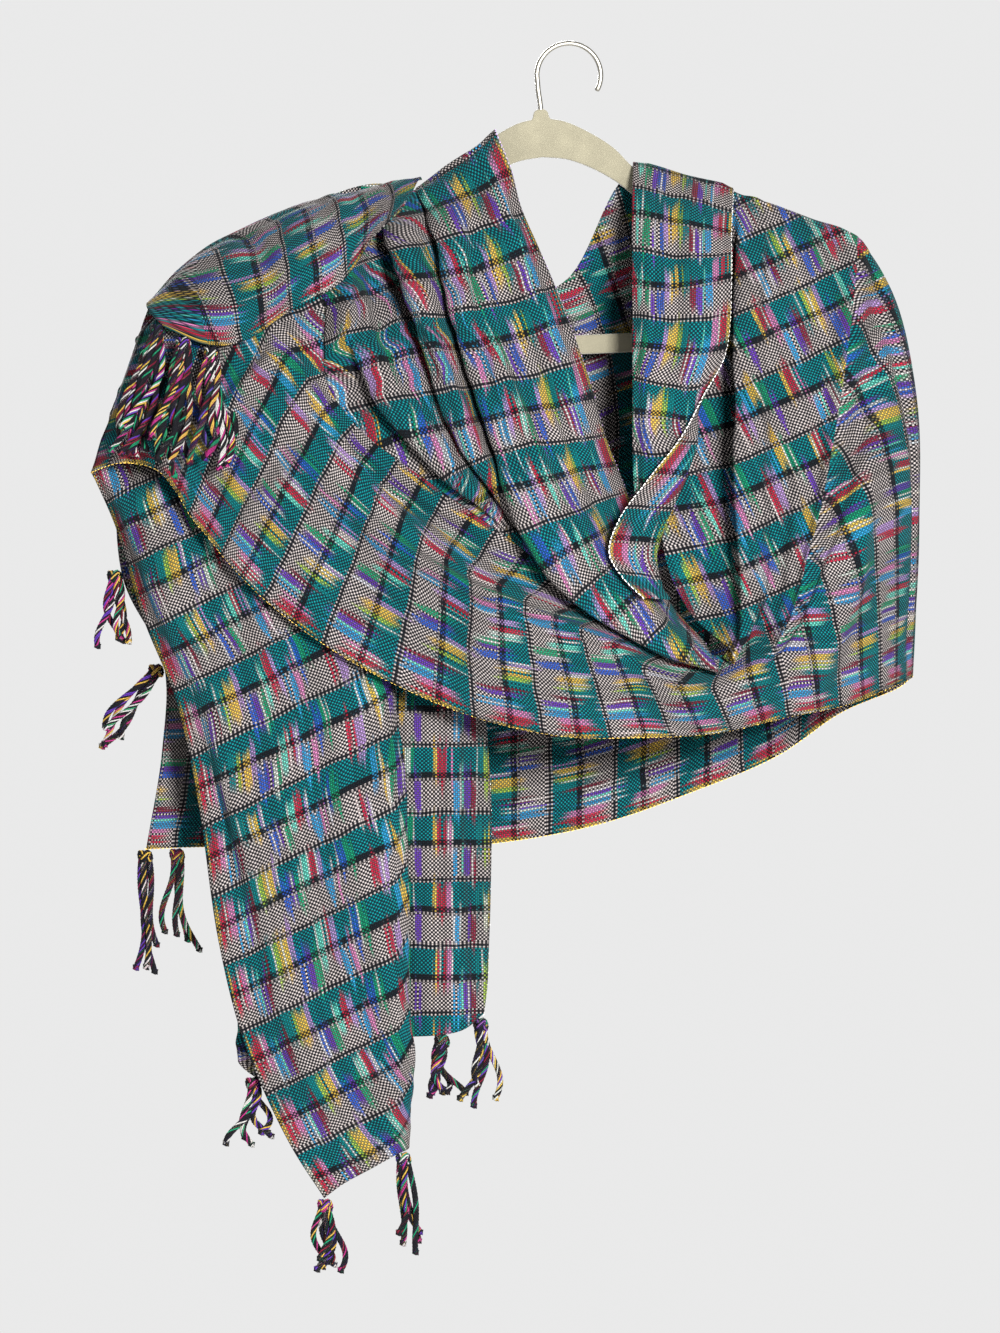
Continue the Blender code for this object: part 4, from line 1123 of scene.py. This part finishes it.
class Shawl:
    """The one length of cloth, as the stretches that show."""

    def __init__(self) -> None:
        """Lay out every stretch."""
        front, back = (0.0, -1.0, 0.0), (0.0, 1.0, 0.0)
        self.stretches = [
            Stretch("front_drape", drape_rows, (0.14, 0.70), ["hanger_body", "neck_cowl_cloth"], front, 9, 9,
                    phase=37.0, weave_map=drape_weave, turned_from=(36, 126)),
            Stretch("neck_cowl", CowlPleats().rows, (0.19, 0.34), ["hanger_body"], front, 8, 8,
                    Selvage.LAST_ROW, phase=30.1, direction=-0.83),
            Stretch("right_fall", lambda: transpose(FALL_LEVELS), (0.08, 0.31),
                    ["hanger_body", "front_drape_cloth"], front, 10, 10, weave_map=right_weave),
            Stretch("right_lapel", lambda: transpose(LAPEL_LEVELS), (0.06, 0.30), ["hanger_body"], front,
                    10, 14, Selvage.LAST_ROW, phase=12.9, direction=-1.0),
            Stretch("back_drape", back_rows, (0.36, 0.52), ["hanger_body"], back, 12, 14, direction=-1.0),
            Stretch("shoulder_end", lambda: SHOULDER_ROWS, (0.09, 0.18), ["hanger_body", "front_drape_cloth"],
                    front, 12, 10, phase=10.4, weave_map=shoulder_weave),
            Stretch("hanging_end", hanging_rows, (0.38, 0.44), ["front_drape_cloth"], front, 10, 9,
                    phase=-3.1, held="hung", weave_map=hanging_weave),
        ]

    def build(self) -> dict[str, bpy.types.Object]:
        """Make every stretch.

        Returns:
            The cloth pieces by stretch name.
        """
        material = WovenCloth().build()
        made = {}
        for stretch in self.stretches:
            stretch.grid = loft(stretch.rows(), stretch.along_steps, stretch.across_steps)
            stretch.fold()
            made[stretch.name] = stretch.build(material)
        return made


# Geometry-node tools


class NodeTool:
    """A geometry tree made in the script, run on one guide mesh and then turned into a plain mesh."""

    def __init__(self, name: str, sockets: dict[str, tuple[str, float | int]]) -> None:
        """Start the tree and its inputs.

        Args:
            name: The tree's name.
            sockets: Input name to socket type and default value.
        """
        self.tree = bpy.data.node_groups.new(name, "GeometryNodeTree")
        face = self.tree.interface
        face.new_socket("Geometry", in_out="INPUT", socket_type="NodeSocketGeometry")
        face.new_socket("Geometry", in_out="OUTPUT", socket_type="NodeSocketGeometry")
        self.keys: dict[str, str] = {}
        for label, (kind, value) in sockets.items():
            socket = face.new_socket(label, in_out="INPUT", socket_type=kind)
            socket.default_value = value
            self.keys[label] = socket.identifier
        socket = face.new_socket("Material", in_out="INPUT", socket_type="NodeSocketMaterial")
        self.keys["Material"] = socket.identifier
        self.bench = Bench(self.tree)
        self.given = self.bench.node("NodeGroupInput").outputs

    def close(self, geometry: bpy.types.NodeSocket) -> None:
        """End the tree with real geometry that carries its material.

        Args:
            geometry: What the tree has made.
        """
        real = self.bench.node("GeometryNodeRealizeInstances", {"Geometry": geometry}).outputs[0]
        smooth = self.bench.node("GeometryNodeSetShadeSmooth", {"Geometry": real}).outputs[0]
        look = {"Geometry": smooth, "Material": self.given["Material"]}
        dressed = self.bench.node("GeometryNodeSetMaterial", look).outputs[0]
        self.bench.node("NodeGroupOutput", {"Geometry": dressed})

    def guide(self) -> Socket:
        """Return the guide mesh as a curve, resampled at the tool's spacing."""
        curve = self.bench.node("GeometryNodeMeshToCurve", {"Mesh": self.given["Geometry"]}).outputs[0]
        spaced = {"Curve": curve, "Length": self.given["Spacing"]}
        return self.bench.node("GeometryNodeResampleCurve", spaced, mode="LENGTH").outputs[0]

    def run(self, name: str, lines: Sequence[Sequence[Point]], values: dict[str, object]) -> bpy.types.Object:
        """Run the tree along guide lines.

        Args:
            name: Name of the piece.
            lines: Guide lines in millimetres in the hanger's frame.
            values: Input values by name.

        Returns:
            A plain mesh object.
        """
        mesh = bpy.data.meshes.new(name)
        points, edges = [], []
        for line in lines:
            first = len(points)
            points += [(point + CROWN_SHIFT) * MM for point in line]
            edges += [(index, index + 1) for index in range(first, len(points) - 1)]
        mesh.from_pydata(points, edges, [])
        piece = placed(name, mesh)
        modifier = piece.modifiers.new(name, "NODES")
        modifier.node_group = self.tree
        for label, value in values.items():
            modifier[self.keys[label]] = value
        return plain_copy(piece)


class PliedRope(NodeTool):
    """Yarns laid side by side round a guide line and twisted about it."""

    def __init__(self) -> None:
        """Build the tree."""
        super().__init__("plied_rope", {
            "Yarns": ("NodeSocketInt", 8), "Yarn Radius": ("NodeSocketFloat", 0.0006),
            "Ring Radius": ("NodeSocketFloat", 0.0014), "Turns per Metre": ("NodeSocketFloat", 62.0),
            "Spacing": ("NodeSocketFloat", 0.0016), "Seed": ("NodeSocketInt", 1)})
        node, given, times = self.bench.node, self.given, self.bench.times
        fine = self.guide()
        run = node("GeometryNodeSplineParameter").outputs["Length"]
        tilt = times(times(run, given["Turns per Metre"]), 2 * math.pi)
        twisted = node("GeometryNodeSetCurveTilt", {"Curve": fine, "Tilt": tilt}).outputs[0]
        circle = {"Vertices": given["Yarns"], "Radius": given["Ring Radius"]}
        ring = node("GeometryNodeMeshCircle", circle).outputs[0]
        section = {"Resolution": 5, "Radius": given["Yarn Radius"]}
        yarn = node("GeometryNodeCurvePrimitiveCircle", section).outputs[0]
        around = node("GeometryNodeInstanceOnPoints", {"Points": ring, "Instance": yarn}).outputs[0]
        index = node("GeometryNodeInputIndex").outputs[0]
        number = self.bench.add(index, times(given["Seed"], YARN_SEED_STEP))
        mark = {"Geometry": around, "Name": "yarn", "Value": number}
        marked = node("GeometryNodeStoreNamedAttribute", mark, data_type="FLOAT", domain="INSTANCE")
        profile = node("GeometryNodeRealizeInstances", {"Geometry": marked.outputs[0]}).outputs[0]
        swept = {"Curve": twisted, "Profile Curve": profile, "Fill Caps": True}
        self.close(node("GeometryNodeCurveToMesh", swept).outputs[0])


class EdgeStitches(NodeTool):
    """Short slanted stitches at an even spacing along a selvage."""

    def __init__(self) -> None:
        """Build the tree."""
        super().__init__("edge_stitches", {
            "Spacing": ("NodeSocketFloat", 0.0030), "Stitch Length": ("NodeSocketFloat", 0.0026),
            "Thread Radius": ("NodeSocketFloat", 0.00035), "Slant": ("NodeSocketFloat", 0.35),
            "Seed": ("NodeSocketInt", 3)})
        node, given = self.bench.node, self.given
        fine = self.guide()
        stitch = node("GeometryNodeMeshUVSphere", {"Segments": 6, "Rings": 5, "Radius": 0.5}).outputs[0]
        thick = self.bench.times(given["Thread Radius"], 2.0)
        size = node("ShaderNodeCombineXYZ", {0: thick, 1: thick, 2: given["Stitch Length"]}).outputs[0]
        tangent = node("GeometryNodeInputTangent").outputs[0]
        limits = {0: (-1.0, -1.0, -1.0), 1: (1.0, 1.0, 1.0), "Seed": given["Seed"]}
        wild = node("FunctionNodeRandomValue", limits, data_type="FLOAT_VECTOR").outputs[0]
        aim = self.bench.vector("ADD", tangent, self.bench.vector("SCALE", wild, given["Slant"]))
        turn = node("FunctionNodeAlignRotationToVector", {"Vector": aim}, axis="Z").outputs[0]
        sewn = {"Points": fine, "Instance": stitch, "Rotation": turn, "Scale": size}
        self.close(node("GeometryNodeInstanceOnPoints", sewn).outputs[0])


def joined(name: str, pieces: list[bpy.types.Object]) -> bpy.types.Object:
    """Join plain mesh objects into one piece.

    Args:
        name: The piece's name.
        pieces: The objects, all at the origin.

    Returns:
        The joined object.
    """
    with bpy.context.temp_override(active_object=pieces[0], selected_editable_objects=pieces):
        bpy.ops.object.join()
    pieces[0].name = name
    return pieces[0]


@dataclass
class Tassel:
    """One knotted fringe group: a knot at the cloth's end, twisted ropes, and their knotted loose ends."""

    name: str
    head: tuple[float, float, float]
    lean: tuple[float, float]
    length: float
    ropes: int
    loose: float
    knot_size: float = 3.6
    knot_drop: float = 4.6
    start_drop: float = 4.5
    spread: tuple[float, float] = (2.4, 4.5)
    rope_share: tuple[float, float] = (0.56, 0.82)
    curl: tuple[float, float] = (4.2, 3.1)
    end_knot_size: float = 1.5
    end_share: tuple[float, float] = (0.10, 0.19)
    loose_yarns: int = 12
    yarn_radius: float = 0.00045
    spacing: float = 0.0018
    uneven: float = 0.3
    flattened: float = 0.6
    sway: tuple[float, float] = (0.6, 1.4)
    spray: tuple[float, float] = (1.6, 4.2)

    def guides(self, chance: random.Random) -> tuple[list[list[Point]], list[list[Point]]]:
        """Lay the guide lines of the ropes and of the yarn ends below them.

        Args:
            chance: The tassel's own seeded random source.

        Returns:
            Rope lines, and loose yarn lines.
        """
        knot = Vector(self.head) + Vector((0, 0, -self.start_drop))
        ropes, ends = [], []
        for index in range(self.ropes):
            angle = 2 * math.pi * index / self.ropes + chance.uniform(-self.uneven, self.uneven)
            side = Vector((math.cos(angle), math.sin(angle) * self.flattened, 0))
            reach = self.length * chance.uniform(*self.rope_share)
            sway = chance.uniform(*self.sway) * (2 + 8 * self.loose)
            turn = chance.uniform(0, 2 * math.pi)
            line = []
            for step in range(13):
                t = step / 12
                drop = reach * t
                swirl = (math.sin(turn + self.curl[0] * t), math.cos(turn + self.curl[1] * t), 0)
                line.append(knot + side * (self.spread[0] + self.spread[1] * t) + Vector(swirl) * sway * t
                            + Vector((self.lean[0] * drop, self.lean[1] * drop, -drop)))
            ropes.append(catmull_rom(line, 3))
            tip, last = line[-1], (line[-1] - line[-2]).normalized()
            for _ in range(self.loose_yarns):
                spray = Vector((chance.uniform(-1, 1), chance.uniform(-1, 1), chance.uniform(-0.6, 0.2)))
                span = chance.uniform(*self.end_share) * self.length
                ends.append(catmull_rom([tip - last * 2, tip + last * span * 0.4 + spray * self.spray[0],
                                         tip + last * span + spray * self.spray[1]], 4))
        return ropes, ends

    def knot_line(self, centre: Point, size: float) -> list[Point]:
        """Return a closed overhand knot as a line round a point."""
        line = []
        for step in range(37):
            t = 2 * math.pi * step / 36
            turn = Vector(((math.sin(t) + 2 * math.sin(2 * t)) / 3, (math.cos(t) - 2 * math.cos(2 * t)) / 3,
                           -math.sin(3 * t) * 0.8))
            line.append(centre + turn * size)
        return line

    def build(self, rope: PliedRope, material: bpy.types.Material, seed: int) -> bpy.types.Object:
        """Make the tassel.

        Args:
            rope: The rope tool.
            material: The fringe yarn.
            seed: The tassel's number.

        Returns:
            The finished piece.
        """
        chance = random.Random(seed * 101 + 7)
        ropes, ends = self.guides(chance)
        parts = []
        for index, line in enumerate(ropes):
            values = {"Material": material, "Seed": seed * 9 + index, "Spacing": self.spacing}
            parts.append(rope.run(f"{self.name}_rope", [line], values))
            knot = self.knot_line(line[-1], self.end_knot_size)
            thin = {**values, "Yarns": 4, "Yarn Radius": 0.0006, "Ring Radius": 0.0008}
            parts.append(rope.run(f"{self.name}_end_knot", [knot], thin))
        head = self.knot_line(Vector(self.head) + Vector((0, 0, -self.knot_drop)), self.knot_size)
        parts.append(rope.run(f"{self.name}_head", [head], {"Material": material, "Seed": seed * 5 + 2}))
        single = {"Material": material, "Yarns": 1, "Yarn Radius": self.yarn_radius, "Ring Radius": 0.0}
        for index, line in enumerate(ends):
            parts.append(rope.run(f"{self.name}_yarn", [line], {**single, "Seed": seed * 31 + index}))
        piece = joined("tassel_" + self.name + "_yarn", parts)
        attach(piece, "root")
        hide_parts("tassel_" + self.name)
        log.info("tassel %s: %d faces", self.name, len(piece.data.polygons))
        return piece


@dataclass
class Hanger:
    """Flat flocked hanger with a wire hook."""

    thickness: float = 4.0
    rounding: float = 1.1
    tilt: float = 2.5
    wire: float = 3.2
    crown_centre: tuple[float, float] = (17.6, 25.8)
    crown_radius: float = 20.1
    crown_end: float = -28.0
    collar: tuple = ((2.0, 4.3), (3.7, 3.4), (4.7, 1.9), (5.2, -0.6))
    arm_top: tuple = ((6, -2), (15, -4), (30, -11.5), (45, -22), (56, -34), (66, -42), (90, -49.5),
                      (122, -58.5), (163, -74.5), (186, -90), (197, -102))
    arm_tip: tuple = ((204, -113), (207, -126), (205, -138), (198, -147), (188, -151))
    arm_underside: tuple = ((0, -26), (15, -28), (30, -34), (45, -43), (60, -55), (90, -68), (122, -78),
                            (158, -93), (176, -106), (186, -117), (190, -127), (187, -135), (178, -139))
    stem: tuple = ((0.0, -3.0), (0.0, 3.3), (-0.6, 9.0), (-1.7, 16.0))
    end_bead: tuple[float, float] = (0.6, 0.55)

    def smoothed(self, points: Sequence[tuple[float, float]]) -> list[tuple[float, float]]:
        """Return a smooth flat line through (x, z) points."""
        line = catmull_rom([(x, 0.0, z) for x, z in points], 4)
        return [(point.x, point.z) for point in line]

    def build_body(self, material: bpy.types.Material) -> bpy.types.Object:
        """Make the flat body with rounded edges.

        Args:
            material: The flock.

        Returns:
            The finished piece.
        """
        right = list(self.collar) + self.smoothed(self.arm_top + self.arm_tip)
        outer = right + [(-x, z) for x, z in reversed(right)]
        under = self.smoothed(self.arm_underside)
        hole = under + [(-x, z) for x, z in reversed(under[1:])]
        curve = bpy.data.curves.new("hanger_body_flock", "CURVE")
        curve.dimensions = "2D"
        curve.fill_mode = "BOTH"
        curve.bevel_depth = self.rounding * MM
        curve.bevel_resolution = 3
        curve.offset = -self.rounding * MM
        curve.extrude = (self.thickness / 2 - self.rounding) * MM
        for outline in (outer, hole):
            spline = curve.splines.new("POLY")
            spline.points.add(len(outline) - 1)
            for point, (x, z) in zip(spline.points, outline):
                point.co = (x * MM, z * MM, 0, 1)
            spline.use_cyclic_u = True
        curve.materials.append(material)
        body = plain_copy(placed("hanger_body_flock", curve))
        lean = math.radians(self.tilt)
        for vert in body.data.vertices:
            x, z, y = vert.co.x, vert.co.y, -vert.co.z
            vert.co = (x * math.cos(lean) - z * math.sin(lean), y, x * math.sin(lean) + z * math.cos(lean))
            vert.co += CROWN_SHIFT * MM
        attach(body, "root")
        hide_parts("hanger_body")
        return body

    def build_hook(self, material: bpy.types.Material) -> bpy.types.Object:
        """Make the wire hook with a rounded end.

        Args:
            material: The wire.

        Returns:
            The finished piece.
        """
        stem_top = (self.crown_centre[0] - self.crown_radius, self.crown_centre[1])
        route = [*self.stem, stem_top]
        for step in range(1, 49):
            angle = math.radians(180 + (self.crown_end - 180) * step / 48)
            route.append((self.crown_centre[0] + self.crown_radius * math.cos(angle),
                          self.crown_centre[1] + self.crown_radius * math.sin(angle)))
        line = [Vector((x, 0, z)) for x, z in route]
        tip = line[-1] + (line[-1] - line[-2]).normalized() * self.end_bead[0]
        curve = bpy.data.curves.new("hanger_hook_wire", "CURVE")
        curve.dimensions = "3D"
        curve.bevel_depth = self.wire / 2 * MM
        curve.bevel_resolution = 6
        curve.use_fill_caps = True
        spline = curve.splines.new("POLY")
        spline.points.add(len(line))
        for point, place in zip(spline.points, line + [tip]):
            point.co = (*((place + CROWN_SHIFT) * MM), 1)
        spline.points[-1].radius = self.end_bead[1]
        curve.materials.append(material)
        hook = plain_copy(placed("hanger_hook_wire", curve))
        hook.data.shade_smooth()
        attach(hook, "root")
        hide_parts("hanger_hook")
        return hook


@dataclass
class Studio:
    """Pale floor, soft lights and the photograph's viewpoint."""

    distance: float = 6.0
    frame_height: float = 0.840
    aim: tuple[float, float] = (-0.0434, -0.3911)
    floor_level: float = -1.05
    floor_radius: float = 2.6
    floor_colour: Colour = (0.66, 0.66, 0.66)
    ambient: float = 0.82
    lamps_aim: Colour = (0.0, 0.0, -0.35)
    lamps: tuple = (("key", (0.85, -3.4, 0.2), 0.6, 600.0), ("fill", (-2.4, -2.6, 0.5), 1.6, 16.0),
                    ("back", (-0.6, 3.2, 0.9), 1.6, 420.0))

    def build(self) -> None:
        """Set up floor, world, lights and camera."""
        floor_mesh = bpy.data.meshes.new("studio_floor")
        build = bmesh.new()
        bmesh.ops.create_circle(build, cap_ends=True, segments=96, radius=self.floor_radius)
        for vert in build.verts:
            vert.co.z = self.floor_level
        build.to_mesh(floor_mesh)
        build.free()
        floor = placed("studio_floor", floor_mesh)
        material, bench = new_material("pale_floor")
        shader = bench.tree.nodes["Principled BSDF"]
        shader.inputs["Base Color"].default_value = (*self.floor_colour, 1.0)
        shader.inputs["Roughness"].default_value = 0.9
        floor_mesh.materials.append(material)

        world = bpy.data.worlds.new("studio")
        world.use_nodes = True
        sky = world.node_tree.nodes["Background"].inputs
        sky["Color"].default_value = (1.0, 1.0, 1.0, 1.0)
        sky["Strength"].default_value = self.ambient
        bpy.context.scene.world = world
        bpy.context.scene.view_settings.view_transform = "Standard"

        for name, place, size, power in self.lamps:
            light = bpy.data.lights.new(name, "AREA")
            light.size = size
            light.energy = power
            lamp = placed(name, light)
            lamp.location = place
            toward = Vector(self.lamps_aim) - Vector(place)
            lamp.rotation_euler = toward.to_track_quat("-Z", "Y").to_euler()

        lens = bpy.data.cameras.new("photo_view")
        lens.sensor_width = 36.0
        lens.lens = 36.0 * self.distance / self.frame_height
        lens.clip_end = 60.0
        camera = placed("photo_view", lens)
        camera.location = (self.aim[0], -self.distance, self.aim[1])
        camera.rotation_euler = (math.radians(90), 0, 0)
        bpy.context.scene.camera = camera


def main() -> None:
    """Build every piece and report it."""
    logging.basicConfig(level=logging.INFO, format="%(name)s: %(message)s")
    hanger = Hanger()
    hanger.build_body(FlockedPlastic().build())
    hanger.build_hook(HookWire().build())
    shawl = Shawl()
    cloth = shawl.build()

    yarn = FringeYarn().build()
    rope = PliedRope()
    tassels = {row[0]: Tassel(*row).build(rope, yarn, seed) for seed, row in enumerate(TASSELS, 1)}

    stitches = EdgeStitches()
    grids = {stretch.name: stretch.grid for stretch in shawl.stretches}
    threads = {}
    for name, row, thread, shade in EDGE_THREADS:
        material = EdgeThread(thread, shade).build()
        piece = stitches.run(name + "_edge_stitches", [grids[name][row]], {"Material": material})
        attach(piece, "root")
        threads[name] = piece

    for stretch in shawl.stretches:
        with_pieces = [tassels[name] for name in FRINGE_ON.get(stretch.name, ())]
        if stretch.name in threads:
            with_pieces.append(threads[stretch.name])
    Studio().build()


if __name__ == "__main__":
    main()
